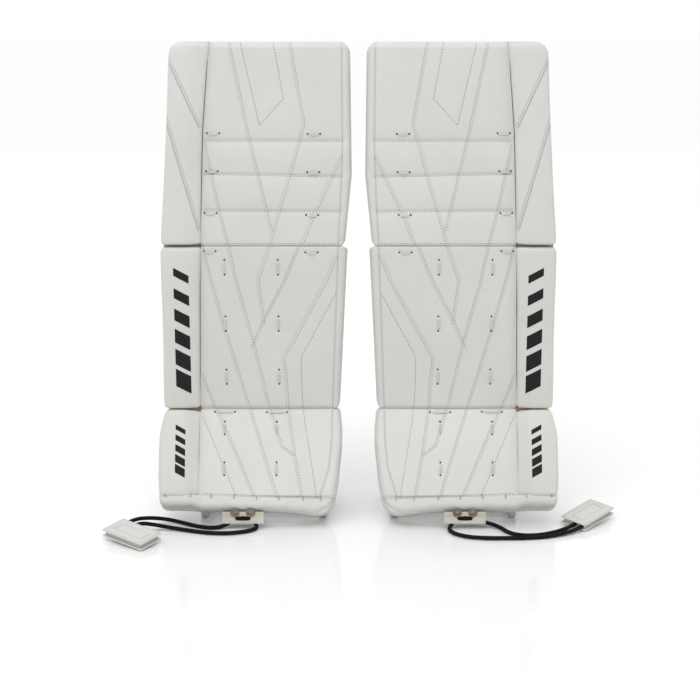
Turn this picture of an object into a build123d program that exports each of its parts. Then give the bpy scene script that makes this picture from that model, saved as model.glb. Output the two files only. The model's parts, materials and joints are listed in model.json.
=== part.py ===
from build123d import *
import math
import os

# A pair of ice hockey goalie leg pads, standing upright. Millimetres.
# X runs across the pair, the faces look along -Y, Z is up, and the pads stand on Z = 0.
# The pad at +X (worn on the left leg) is drawn; the pad at -X is its mirror image.
# Each pad is three sections joined at the knee break and the boot break:
# the thigh leans back, the shin is upright and the boot slopes forward.

# ---- Driving dimensions ----
KNEE_Z = 415.0  # height of the knee break
ANKLE_Z = 168.5  # height of the boot break
THIGH_LEAN = 4.0  # degrees that the thigh leans back
BOOT_LEAN = 24.0  # degrees that the boot slopes forward
PAD_DEPTH = 52.0  # face to back
BACK_REACH = 143.5  # face to the back of the calf strap
FACE_Y = -37.8  # where the shin's face stands, so that the pair is centred on Y = 0
SKIN = 2.5  # leather cover
LINING = 3.0  # fabric on the back
BREAK_GAP = 0.8  # between two sections at their face
FLEX_WEDGE = 13.0  # degrees cut from the top of a section behind its break
ROLL_PROUD = 9.0  # roll in front of the face
ROLL_SEAT = 16.0  # roll sunk behind the face
ROLL_GAP = 0.3  # between the roll and the wall beside it
ROLL_ROUND = 4.5
SEAT_ROOM = 120.0  # the seat's cut runs this far outwards, past the pad's edge
OVERRUN = 10.0  # how far a section is drawn past a break before it is cut

# Leg channel, behind the shin and the boot
WING_X = 236.0  # inner face of the outer calf wing
WING_THICK = 12.0
WING_LOW_Z = 205.0
WING_HIGH_Z = 385.0
WING_DEPTH = 140.0  # face to the wing's back edge
FLAP_X = 61.0  # the inner calf flap's face towards the other pad
FLAP_THICK = 10.0
FLAP_LOW_Z = 200.0
FLAP_HIGH_Z = 306.0
FLAP_ROOT = 3.2  # back of the shin to the flap, whose root needs room to swing
STACK_SIZE = (66.0, 46.0, 84.0)
STACK_X = 55.0
STACK_Z = 360.0
PART_GAP = 0.4  # between a piece and the back that it is sewn to

# Straps
STRAP_THICK = 2.5
STRAP_WIDTH = 38.0
CALF_STRAP_X = (50.0, 247.0)
CALF_STRAP_Z = 256.0
KNEE_STRAP_X = (52.0, 232.0)
KNEE_STRAP_Z = 352.0
KNEE_STRAP_DEPTH = (100.6, 124.0)  # at its sewn end and at its free end
THIGH_STRAP_X = (46.0, 250.0)
THIGH_STRAP_S = 120.0  # above the knee break
ANCHOR_SIZE = (26.0, 14.0, 46.0)
ANCHOR_X = (48.0, 232.0)

# Boot channel
RAIL_X = (54.0, 232.0)
RAIL_THICK = 12.0
RAIL_BACK = 92.0  # face plane to the rails' back ends
RAIL_HIGH_Z = 44.0
RAIL_TOP_S = -40.0  # top of the rails, along the boot from the boot break
RAIL_TOE_BACK = -9.0
BOOT_STRAP_X = (46.0, 240.0)
BOOT_STRAP_Z = 22.0
BOOT_STRAP_WIDTH = 30.0

# Toe bridge and toe tie
BRIDGE_X = {"left": 157.5, "right": 170.9}
BRIDGE_WIDTH = 61.5
BRIDGE_LEATHER = 2.0
BRIDGE_FRONT = -60.5
BRIDGE_BACK = -42.6
BRIDGE_LOW_Z = 9.0
BRIDGE_TOP_S = -153.2
SLOT_LENGTH = 23.0
SLOT_HEIGHT = 6.5
SLOT_Z = 17.0
RIVET_SPREAD = 23.0
RIVET_Z = 24.2
RIVET_HEAD = 4.2
RIVET_SHANK = 1.5
RIVET_RISE = 1.2
CORD_DIA = 6.0
FLOOR_Z = 3.2  # centre of a cord that lies on the floor
TIE_Y = -54.0  # centre of the cord between the bridge's two leaves
TIE_Z = 16.5
TAB_LENGTH = 75.0
TAB_WIDTH = 43.0
TAB_LEAF = 2.0
TAB_PAD = 6.8  # hook pad between the two leaves
TAB_INSET = 3.0  # pad edge inside the leaves' edges
TAB_TILT = 7.0  # degrees

# Laces: small loops across the face
LACE_WIDTH = 1.8
LACE_RISE = 1.2

os.makedirs("parts", exist_ok=True)


def leaning_plane(height, lean):
    """The face plane of a section: local x across the pad, local y up it, normal forward."""
    tilt = math.radians(lean)
    return Plane(
        origin=(0, FACE_Y, height),
        x_dir=(1, 0, 0),
        z_dir=(0, -math.cos(tilt), math.sin(tilt)),
    )


def break_plane(height):
    """The sloping cut across the top of a section, just below its break."""
    slope = math.radians(FLEX_WEDGE)
    return Plane(
        origin=(0, FACE_Y, height - BREAK_GAP),
        x_dir=(1, 0, 0),
        z_dir=(0, math.sin(slope), math.cos(slope)),
    )


THIGH_FACE = leaning_plane(KNEE_Z, THIGH_LEAN)
SHIN_FACE = leaning_plane(0, 0)
BOOT_FACE = leaning_plane(ANKLE_Z, BOOT_LEAN)

# Outlines on the face planes: distance out from the middle of the pair, distance up the section.
# Each point has the radius of its corner.
THIGH_OUTLINE = [
    ((20.5, BREAK_GAP), 4),
    ((10.7, 100), 150),
    ((13, 291), 16),
    ((270.5, 292), 18),
    ((289, BREAK_GAP), 4),
]
SHIN_OUTLINE = [
    ((28.5, ANKLE_Z + BREAK_GAP), 5),
    ((16, KNEE_Z + OVERRUN), 0),
    ((289.3, KNEE_Z + OVERRUN), 0),
    ((290.5, ANKLE_Z + BREAK_GAP), 5),
]
BOOT_OUTLINE = [
    ((30, OVERRUN), 0),
    ((24.8, -40), 80),
    ((31, -105), 80),
    ((42, -160.5), 20),
    ((70, -159.8), 30),
    ((105, -152.8), 60),
    ((293.5, -151.2), 8),
    ((297, -105), 60),
    ((286, OVERRUN), 0),
]
# The crease beside the outer roll, from the low end to the high end
THIGH_CREASE = [(229.4, -OVERRUN), (222.8, 165), (211.5, 300)]
SHIN_CREASE = [(235, ANKLE_Z - OVERRUN), (228.8, KNEE_Z + OVERRUN)]
BOOT_CREASE = [(236.3, -165), (234.8, 2 * OVERRUN)]
# Outer rolls: (across, along), with the radius of each corner
THIGH_ROLL = [
    ((229 + ROLL_GAP, 3.6), 5),
    ((222.8 + ROLL_GAP, 165), 0),
    ((212.3 + ROLL_GAP, 288), 8),
    ((270.3, 289), 14),
    ((288.8, 3.6), 6),
]
SHIN_ROLL = [
    ((234.8 + ROLL_GAP, ANKLE_Z + 3.4), 5),
    ((229 + ROLL_GAP, KNEE_Z - 5.0), 5),
    ((289, KNEE_Z - 5.0), 9),
    ((290.4, ANKLE_Z + 3.4), 8),
]
BOOT_ROLL = [
    ((236.3 + ROLL_GAP, -150.2), 4),
    ((234.9 + ROLL_GAP, -4.6), 5),
    ((288.6, -4.6), 9),
    ((296.9, -50), 60),
    ((296.9, -105), 60),
    ((293.6, -150.2), 7),
]


def closed_line(corners):
    """A closed outline of straight sides and round corners."""
    FilletPolyline(*[point for point, _ in corners], radius=[r for _, r in corners], close=True)


def section_block(face, outline, crease, front, back, inset, top=None):
    """A section of the pad as one solid, between two depths behind its face, with its sides
    moved in by the inset, a seat for the outer roll, and its top cut to the flex wedge."""
    with BuildPart() as block:
        with BuildSketch(face.offset(-front)):
            with BuildLine():
                closed_line(outline)
            make_face()
            if inset > 0:
                offset(amount=-inset)
        extrude(amount=front - back)
        with BuildSketch(face.offset(OVERRUN)):
            with BuildLine():
                edge = [(x - inset, s) for x, s in crease]
                beyond = [(x + SEAT_ROOM, s) for x, s in (edge[-1], edge[0])]
                Polyline(*edge, *beyond, close=True)
            make_face()
        extrude(amount=-(OVERRUN + ROLL_SEAT + inset), mode=Mode.SUBTRACT)
        if top is not None:
            split(bisect_by=top.offset(-inset), keep=Keep.BOTTOM)
    return block


def cover_of(face, outline, crease, top):
    """The leather cover: front and side walls round the core, open at the back."""
    outer = section_block(face, outline, crease, 0, PAD_DEPTH, 0, top)
    inner = section_block(face, outline, crease, SKIN, PAD_DEPTH + OVERRUN, SKIN, top)
    with BuildPart() as cover:
        add(outer.part)
        add(inner.part, mode=Mode.SUBTRACT)
    return cover


def core_of(face, outline, crease, top):
    """The foam core, which fills the cover up to the lining."""
    return section_block(face, outline, crease, SKIN, PAD_DEPTH - LINING, SKIN, top)


def lining_of(face, outline, crease, top):
    """The fabric back panel, inside the cover's walls."""
    return section_block(face, outline, crease, PAD_DEPTH - LINING, PAD_DEPTH, SKIN, top)


def roll_of(face, corners):
    """An outer roll: a thick foam bar with a rounded front."""
    with BuildPart() as roll:
        with BuildSketch(face.offset(-ROLL_SEAT)):
            with BuildLine():
                closed_line(corners)
            make_face()
        extrude(amount=ROLL_SEAT + ROLL_PROUD)
        front = roll.faces().sort_by(Axis(face.origin, face.z_dir))[-1]
        fillet(front.edges(), radius=ROLL_ROUND)
    return roll


def laces_of(face, level, upright):
    """Lace loops on a face: level ones and upright ones, by centre and length."""
    with BuildPart() as laces:
        with BuildSketch(face):
            for x, s, length in level:
                with Locations((x, s)):
                    SlotOverall(length, LACE_WIDTH)
            for x, s, length in upright:
                with Locations((x, s)):
                    SlotOverall(length, LACE_WIDTH, rotation=90)
        extrude(amount=LACE_RISE)
    return laces


def band(x_range, depth, centre_z, width):
    """A flat strap straight across the back, its front surface at a depth behind the face."""
    low_x, high_x = x_range
    with BuildPart() as strap:
        with BuildSketch(Plane.XZ.offset(-(FACE_Y + depth))):
            with Locations(((low_x + high_x) / 2, centre_z)):
                RectangleRounded(high_x - low_x, width, 5)
        extrude(amount=-STRAP_THICK)
    return strap


KNEE_CUT = break_plane(KNEE_Z)
ANKLE_CUT = break_plane(ANKLE_Z)

pieces = {}

# ---- Thigh ----
THIGH = (THIGH_FACE, THIGH_OUTLINE, THIGH_CREASE, None)
pieces["thigh_core"] = core_of(*THIGH)
pieces["thigh_cover"] = cover_of(*THIGH)
pieces["thigh_lining"] = lining_of(*THIGH)
pieces["thigh_outer_roll"] = roll_of(THIGH_FACE, THIGH_ROLL)
thigh_laces = [(x, s, 18) for s in (162, 107.5, 46.5) for x in (64.5, 212.5)]
pieces["thigh_laces"] = laces_of(THIGH_FACE, thigh_laces, [])

with BuildPart() as thigh_strap_anchors:
    with BuildSketch(THIGH_FACE.offset(-(PAD_DEPTH + PART_GAP))):
        for anchor_x in ANCHOR_X:
            with Locations((anchor_x, THIGH_STRAP_S)):
                RectangleRounded(ANCHOR_SIZE[0], ANCHOR_SIZE[2], 5)
    extrude(amount=-ANCHOR_SIZE[1])
pieces["thigh_strap_anchors"] = thigh_strap_anchors

with BuildPart() as thigh_strap:
    with BuildSketch(THIGH_FACE.offset(-(PAD_DEPTH + ANCHOR_SIZE[1] + 2 * PART_GAP))):
        with Locations((sum(THIGH_STRAP_X) / 2, THIGH_STRAP_S)):
            RectangleRounded(THIGH_STRAP_X[1] - THIGH_STRAP_X[0], STRAP_WIDTH, 5)
    extrude(amount=-STRAP_THICK)
pieces["thigh_strap"] = thigh_strap

# ---- Shin ----
SHIN = (SHIN_FACE, SHIN_OUTLINE, SHIN_CREASE, KNEE_CUT)
pieces["shin_core"] = core_of(*SHIN)
pieces["shin_cover"] = cover_of(*SHIN)
pieces["shin_lining"] = lining_of(*SHIN)
pieces["shin_outer_roll"] = roll_of(SHIN_FACE, SHIN_ROLL)
shin_level = [(68.5, 405.3, 18), (216.5, 407, 17)]
shin_upright = [(x, z, 22) for z in (383, 298.5, 217.5) for x in (117.5, 195.5)]
pieces["shin_laces"] = laces_of(SHIN_FACE, shin_level, shin_upright)

with BuildPart() as knee_stack:
    stack_y = FACE_Y + PAD_DEPTH + PART_GAP + STACK_SIZE[1] / 2
    with Locations((STACK_X, stack_y, STACK_Z)):
        Box(*STACK_SIZE)
    fillet(knee_stack.edges().filter_by(Axis.Y), radius=12)
    fillet(knee_stack.faces().sort_by(Axis.Y)[-1].edges(), radius=5)
pieces["knee_stack"] = knee_stack

with BuildPart() as outer_calf_wing:
    with BuildSketch(Plane.YZ.offset(WING_X)):
        wing_front = FACE_Y + PAD_DEPTH + PART_GAP
        wing_back = FACE_Y + WING_DEPTH
        with BuildLine():
            FilletPolyline(
                (wing_front, WING_LOW_Z),
                (wing_back, WING_LOW_Z + 8),
                (wing_back, WING_HIGH_Z - 8),
                (wing_front, WING_HIGH_Z),
                radius=[0, 28, 28, 0],
                close=True,
            )
        make_face()
    extrude(amount=WING_THICK)
pieces["outer_calf_wing"] = outer_calf_wing

with BuildPart() as inner_calf_flap:
    with BuildSketch(Plane.YZ.offset(FLAP_X)):
        flap_front = FACE_Y + PAD_DEPTH + FLAP_ROOT
        with BuildLine():
            FilletPolyline(
                (flap_front, FLAP_LOW_Z),
                (wing_back - 1, FLAP_LOW_Z + 6),
                (wing_back - 1, FLAP_HIGH_Z - 6),
                (flap_front, FLAP_HIGH_Z),
                radius=[0, 26, 26, 0],
                close=True,
            )
        make_face()
    extrude(amount=FLAP_THICK)
pieces["inner_calf_flap"] = inner_calf_flap

pieces["calf_strap"] = band(CALF_STRAP_X, BACK_REACH - STRAP_THICK, CALF_STRAP_Z, STRAP_WIDTH)

with BuildPart() as knee_strap:
    with BuildSketch(Plane.XY.offset(KNEE_STRAP_Z - STRAP_WIDTH / 2)):
        sewn = (KNEE_STRAP_X[0], FACE_Y + KNEE_STRAP_DEPTH[0])
        free = (KNEE_STRAP_X[1], FACE_Y + KNEE_STRAP_DEPTH[1])
        with BuildLine():
            Polyline(
                sewn,
                free,
                (free[0], free[1] + STRAP_THICK),
                (sewn[0], sewn[1] + STRAP_THICK),
                close=True,
            )
        make_face()
    extrude(amount=STRAP_WIDTH)
pieces["knee_strap"] = knee_strap

# ---- Boot ----
BOOT = (BOOT_FACE, BOOT_OUTLINE, BOOT_CREASE, ANKLE_CUT)
pieces["boot_core"] = core_of(*BOOT)
pieces["boot_cover"] = cover_of(*BOOT)
pieces["boot_lining"] = lining_of(*BOOT)
pieces["boot_outer_roll"] = roll_of(BOOT_FACE, BOOT_ROLL)
boot_upright = [(x, s, 19) for s in (-29, -90) for x in (121.5, 199)]
toe_ticks = [(x, -132, 8) for x in (55.5, 84, 117.5, 150.5, 183.5, 217)]
boot_level = [(121.7, -5.4, 30), (199, -4.8, 30)]
pieces["boot_laces"] = laces_of(BOOT_FACE, boot_level, boot_upright + toe_ticks)

boot_down = Vector(0, -math.sin(math.radians(BOOT_LEAN)), -math.cos(math.radians(BOOT_LEAN)))
boot_back = Vector(0, math.cos(math.radians(BOOT_LEAN)), -math.sin(math.radians(BOOT_LEAN)))


def boot_point(depth, s):
    """Y and Z of a point behind the boot's face, at a distance up from the boot break."""
    place = Vector(0, FACE_Y, ANKLE_Z) + boot_back * depth - boot_down * s
    return (place.Y, place.Z)


with BuildPart() as boot_rails:
    for rail_x in RAIL_X:
        with BuildSketch(Plane.YZ.offset(rail_x - RAIL_THICK / 2)):
            with BuildLine():
                Polyline(
                    boot_point(PAD_DEPTH + PART_GAP, -150),
                    boot_point(PAD_DEPTH + PART_GAP, RAIL_TOP_S),
                    (FACE_Y + RAIL_BACK, RAIL_HIGH_Z),
                    (FACE_Y + RAIL_BACK, 0),
                    (FACE_Y + RAIL_TOE_BACK, 0),
                    close=True,
                )
            make_face()
        extrude(amount=RAIL_THICK)
pieces["boot_rails"] = boot_rails

pieces["boot_strap"] = band(BOOT_STRAP_X, RAIL_BACK + 1, BOOT_STRAP_Z, BOOT_STRAP_WIDTH)


def mirrored(part):
    """The same solids for the pad at -X."""
    with BuildPart() as other:
        add(part)
        mirror(about=Plane.YZ, mode=Mode.REPLACE)
    return other


for name, piece in pieces.items():
    piece.part.label = "left_" + name
    export_step(piece.part, "parts/left_" + name + ".step")
    right = mirrored(piece.part)
    right.part.label = "right_" + name
    export_step(right.part, "parts/right_" + name + ".step")


# ---- Toe bridge: a leather loop under the boot, with a slot that shows the cord ----
def make_bridge(centre_x):
    """Front leaf, web against the boot's underside and rear leaf, bent from one strip."""
    low = centre_x - BRIDGE_WIDTH / 2
    front = FACE_Y + BRIDGE_FRONT
    back = FACE_Y + BRIDGE_BACK
    thick = BRIDGE_LEATHER
    tilt = math.radians(BOOT_LEAN)
    top_y, top_z = boot_point(0, BRIDGE_TOP_S)

    def under_boot(y):
        return top_z - (y - top_y) * math.tan(tilt)

    drop = thick / math.cos(tilt)
    with BuildPart() as bridge:
        with BuildSketch(Plane.YZ.offset(low)):
            with BuildLine():
                Polyline(
                    (front, BRIDGE_LOW_Z),
                    (front, under_boot(front)),
                    (back, under_boot(back)),
                    (back, BRIDGE_LOW_Z),
                    (back - thick, BRIDGE_LOW_Z),
                    (back - thick, under_boot(back - thick) - drop),
                    (front + thick, under_boot(front + thick) - drop),
                    (front + thick, BRIDGE_LOW_Z),
                    close=True,
                )
            make_face()
        extrude(amount=BRIDGE_WIDTH)
        with BuildSketch(Plane.XZ.offset(-(front - 1))):
            with Locations((centre_x, SLOT_Z)):
                SlotOverall(SLOT_LENGTH, SLOT_HEIGHT)
            for side in (-1, 1):
                with Locations((centre_x + side * RIVET_SPREAD / 2, RIVET_Z)):
                    Circle(RIVET_SHANK)
        extrude(amount=-(thick + 1.5), mode=Mode.SUBTRACT)
    return bridge


def make_rivets(centre_x):
    """Two rivets through the front leaf: head, shank and washer."""
    front = FACE_Y + BRIDGE_FRONT
    with BuildPart() as rivets:
        for side in (-1, 1):
            spot = (centre_x + side * RIVET_SPREAD / 2, RIVET_Z)
            with BuildSketch(Plane.XZ.offset(-front)):
                with Locations(spot):
                    Circle(RIVET_HEAD)
            extrude(amount=RIVET_RISE)
            with BuildSketch(Plane.XZ.offset(-front)):
                with Locations(spot):
                    Circle(RIVET_SHANK)
            extrude(amount=-BRIDGE_LEATHER)
    return rivets


# ---- Toe tie: an elastic cord through the bridge, its two ends in a folding tab ----
def tab_plane(x, y, z, turn):
    """The middle plane of a tab that lies turned on the floor, its far side a little raised."""
    yaw = math.radians(turn)
    tilt = math.radians(TAB_TILT)
    along = (math.cos(yaw), math.sin(yaw) * math.cos(tilt), math.sin(yaw) * math.sin(tilt))
    return Plane(
        origin=(x, FACE_Y + y, z),
        x_dir=along,
        z_dir=(0, -math.sin(tilt), math.cos(tilt)),
    )


TAB = {
    "right": tab_plane(-328.6, -110.0, 10.7, -36.8),
    "left": tab_plane(343.0, -29.5, 11.0, 47.8),
}
TAB_EDGE_Y = TAB_WIDTH / 2 - TAB_INSET  # pad edge that the right pad's cords enter
TAB_EDGE_X = TAB_INSET - TAB_LENGTH / 2  # pad edge that the left pad's cords enter

# Routes from the middle of the bridge: across, behind the shin's face plane, height.
# The last points of each are on the tab's own plane: along it and across it.
ROUTES = {
    "right_toe_cord_far": (
        [
            (-BRIDGE_X["right"], TIE_Y, TIE_Z),
            (-181.5, TIE_Y, TIE_Z),
            (-192.0, -55.0, 7.6),
            (-204.5, -60.4, 3.4),
            (-222.0, -62.6, FLOOR_Z),
            (-243.5, -53.5, FLOOR_Z),
            (-264.0, -41.5, 4.0),
            (-287.0, -36.0, 7.2),
            (-311.0, -43.5, 12.0),
        ],
        [(-31.0, 38.0), (-31.0, TAB_EDGE_Y)],
    ),
    "right_toe_cord_near": (
        [
            (-BRIDGE_X["right"], TIE_Y, TIE_Z),
            (-160.5, TIE_Y, TIE_Z),
            (-152.6, -54.6, 7.8),
            (-150.0, -61.4, 3.5),
            (-155.5, -70.5, FLOOR_Z),
            (-171.0, -79.8, FLOOR_Z),
            (-196.0, -85.5, FLOOR_Z),
            (-226.0, -82.0, FLOOR_Z),
            (-254.0, -71.5, FLOOR_Z),
            (-281.0, -63.5, 4.6),
            (-303.0, -64.0, 9.0),
        ],
        [(-17.0, 33.0), (-17.0, TAB_EDGE_Y)],
    ),
    "left_toe_cord_far": (
        [
            (BRIDGE_X["left"], TIE_Y, TIE_Z),
            (168.0, TIE_Y, TIE_Z),
            (179.0, -53.6, 11.6),
            (191.0, -53.0, 7.4),
            (203.0, -54.5, 4.4),
            (212.5, -64.5, FLOOR_Z),
            (218.5, -78.5, FLOOR_Z),
            (228.5, -89.0, FLOOR_Z),
            (243.5, -94.0, FLOOR_Z),
            (263.5, -92.5, FLOOR_Z),
            (285.0, -84.0, 3.6),
        ],
        [(-54.0, -2.5), (TAB_EDGE_X, -2.5)],
    ),
    "left_toe_cord_near": (
        [
            (BRIDGE_X["left"], TIE_Y, TIE_Z),
            (147.0, TIE_Y, TIE_Z),
            (138.9, -54.6, 7.8),
            (134.8, -61.6, 3.5),
            (134.0, -71.5, FLOOR_Z),
            (140.0, -85.0, FLOOR_Z),
            (155.0, -97.5, FLOOR_Z),
            (179.0, -104.0, FLOOR_Z),
            (212.0, -104.6, FLOOR_Z),
            (246.0, -103.2, FLOOR_Z),
            (276.0, -98.0, FLOOR_Z),
            (300.0, -87.5, 3.8),
        ],
        [(-50.0, -14.5), (TAB_EDGE_X, -14.5)],
    ),
}


def corner_radii(points):
    """The largest arc that each corner of a route has room for."""
    radii = []
    for before, here, after in zip(points, points[1:], points[2:]):
        turn = math.radians((here - before).get_angle(after - here))
        shorter = min((here - before).length, (after - here).length)
        radii.append(0.45 * shorter / math.tan(turn / 2))
    return radii


def make_cord(name, side):
    """A cord as straight runs joined by tangent arcs."""
    on_floor, on_tab = ROUTES[name]
    points = [Vector(x, FACE_Y + y, z) for x, y, z in on_floor]
    points += [TAB[side].from_local_coords(Vector(u, v, 0)) for u, v in on_tab]
    radii = corner_radii(points)
    with BuildPart() as cord:
        with BuildLine() as path:
            FilletPolyline(*points, radius=radii)
        with BuildSketch(Plane(origin=points[0], z_dir=points[1] - points[0])):
            Circle(CORD_DIA / 2)
        sweep()
    length = path.wires()[0].length
    expected = length * math.pi * (CORD_DIA / 2) ** 2
    print(name, "length", round(length, 1), "volume ratio", round(cord.part.volume / expected, 4))
    print("  radii", [round(radius, 1) for radius in radii])
    print("  points", [tuple(round(c, 2) for c in point) for point in points])
    return cord


def make_tab_base(side):
    """The tab's lower leaf and the hook pad on it."""
    with BuildPart() as tab_base:
        with BuildSketch(TAB[side].offset(-TAB_PAD / 2 - TAB_LEAF)):
            RectangleRounded(TAB_LENGTH, TAB_WIDTH, 3)
        extrude(amount=TAB_LEAF)
        with BuildSketch(TAB[side].offset(-TAB_PAD / 2)):
            Rectangle(TAB_LENGTH - 2 * TAB_INSET, TAB_WIDTH - 2 * TAB_INSET)
        extrude(amount=TAB_PAD)
    return tab_base


def make_tab_flap(side):
    """The tab's upper leaf, which lifts."""
    with BuildPart() as tab_flap:
        with BuildSketch(TAB[side].offset(TAB_PAD / 2 + 0.2)):
            RectangleRounded(TAB_LENGTH, TAB_WIDTH, 3)
        extrude(amount=TAB_LEAF)
    return tab_flap


for side, sign in (("left", 1), ("right", -1)):
    toe_pieces = {
        "toe_bridge": make_bridge(sign * BRIDGE_X[side]),
        "toe_bridge_rivets": make_rivets(sign * BRIDGE_X[side]),
        "toe_cord_far": make_cord(side + "_toe_cord_far", side),
        "toe_cord_near": make_cord(side + "_toe_cord_near", side),
        "toe_tab_base": make_tab_base(side),
        "toe_tab_flap": make_tab_flap(side),
    }
    for name, piece in toe_pieces.items():
        piece.part.label = side + "_" + name
        export_step(piece.part, "parts/" + side + "_" + name + ".step")
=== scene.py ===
import json
import math

import bmesh
import bpy
import numpy as np
from mathutils import Matrix, Vector
from mathutils.bvhtree import BVHTree


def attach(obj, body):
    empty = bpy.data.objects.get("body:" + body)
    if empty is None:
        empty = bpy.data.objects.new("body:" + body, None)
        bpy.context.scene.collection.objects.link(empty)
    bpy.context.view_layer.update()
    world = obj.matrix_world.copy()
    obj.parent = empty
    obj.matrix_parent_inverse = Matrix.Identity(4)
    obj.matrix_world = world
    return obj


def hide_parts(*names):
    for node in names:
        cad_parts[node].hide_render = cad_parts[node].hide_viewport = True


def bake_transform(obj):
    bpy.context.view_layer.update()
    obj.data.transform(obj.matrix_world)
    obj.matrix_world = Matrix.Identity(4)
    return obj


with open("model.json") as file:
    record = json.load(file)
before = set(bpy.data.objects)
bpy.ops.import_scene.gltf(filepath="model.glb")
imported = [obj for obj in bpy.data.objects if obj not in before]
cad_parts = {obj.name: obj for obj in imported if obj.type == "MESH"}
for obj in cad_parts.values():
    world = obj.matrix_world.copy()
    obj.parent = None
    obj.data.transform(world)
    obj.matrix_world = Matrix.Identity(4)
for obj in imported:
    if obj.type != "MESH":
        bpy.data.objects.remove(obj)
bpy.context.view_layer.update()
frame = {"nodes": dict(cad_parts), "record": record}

# A pair of goalie leg pads. The left pad, at +X, is made and the right pad is its mirror
# image; only the toe bridges, cords and tabs are placed one by one.
# Pad sizes are in millimetres, as they are cut: across from the middle of the pair, up along
# the section's face, and depth behind the face.
MM = 0.001
SIDES = ("left", "right")

JOINTS = {joint["name"]: joint for joint in frame["record"]["behaviour"]["joints"]}
KNEE = JOINTS["left_knee_flex"]["pos_m"]
ANKLE = JOINTS["left_boot_flex"]["pos_m"]
FACE_Y = KNEE[1] / MM

PAD_DEPTH = 52.0
ROLL_SEAT = 16.0
ROLL_PROUD = 9.0
EDGE_ROUND = 9.0  # inner edge of the face
CREASE_ROUND = 1.6  # where the face turns down beside the roll
CREASE_VALLEY = {"thigh": (2.6, 12.0), "shin": (1.3, 8.0), "boot": (2.2, 10.0)}  # depth, width
BREAK_ROUND = 2.0  # where the face turns down at a break
LAP = 3.2  # stitch row beside its seam
STITCH_PITCH = 4.4

scene = bpy.context.scene


# ---------------------------------------------------------------- camera, light and floor
def make_camera():
    """Level with the pads' top, looking down a little, as a catalogue camera does."""
    data = bpy.data.cameras.new("camera")
    data.sensor_width = 36
    data.lens = 84.5
    data.shift_x = -0.0121
    camera = bpy.data.objects.new("camera", data)
    camera.location = (0, FACE_Y * MM - 2.35, 0.8665)
    camera.rotation_euler = (math.radians(90 - 14.5), 0, 0)
    scene.collection.objects.link(camera)
    scene.camera = camera


def area_light(name, place, aim, size, power):
    data = bpy.data.lights.new(name, "AREA")
    data.shape = "RECTANGLE"
    data.size, data.size_y = size
    data.energy = power
    light = bpy.data.objects.new(name, data)
    light.location = place
    light.rotation_euler = (Vector(aim) - Vector(place)).to_track_quat("-Z", "Y").to_euler()
    scene.collection.objects.link(light)


def make_light():
    """A white surround, one large soft key from the upper left and a weaker fill."""
    scene.view_settings.view_transform = "Standard"
    world = bpy.data.worlds.new("studio")
    scene.world = world
    world.use_nodes = True
    world.node_tree.nodes["Background"].inputs["Color"].default_value = (1, 1, 1, 1)
    world.node_tree.nodes["Background"].inputs["Strength"].default_value = 1.0
    area_light("key", (-0.7, -1.6, 2.7), (0, 0, 0.3), (2.8, 2.4), 38)
    area_light("fill", (2.2, -1.5, 1.5), (0, 0, 0.35), (1.8, 2.0), 4)
    area_light("back", (0, 2.0, 2.6), (0, 0, 0.3), (2.4, 2.0), 7)


def make_floor():
    bpy.ops.mesh.primitive_plane_add(size=80, location=(0, 0, -0.0004))
    floor = bpy.context.object
    floor.name = "studio_floor"
    floor.data.materials.append(floor_paint())


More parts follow.
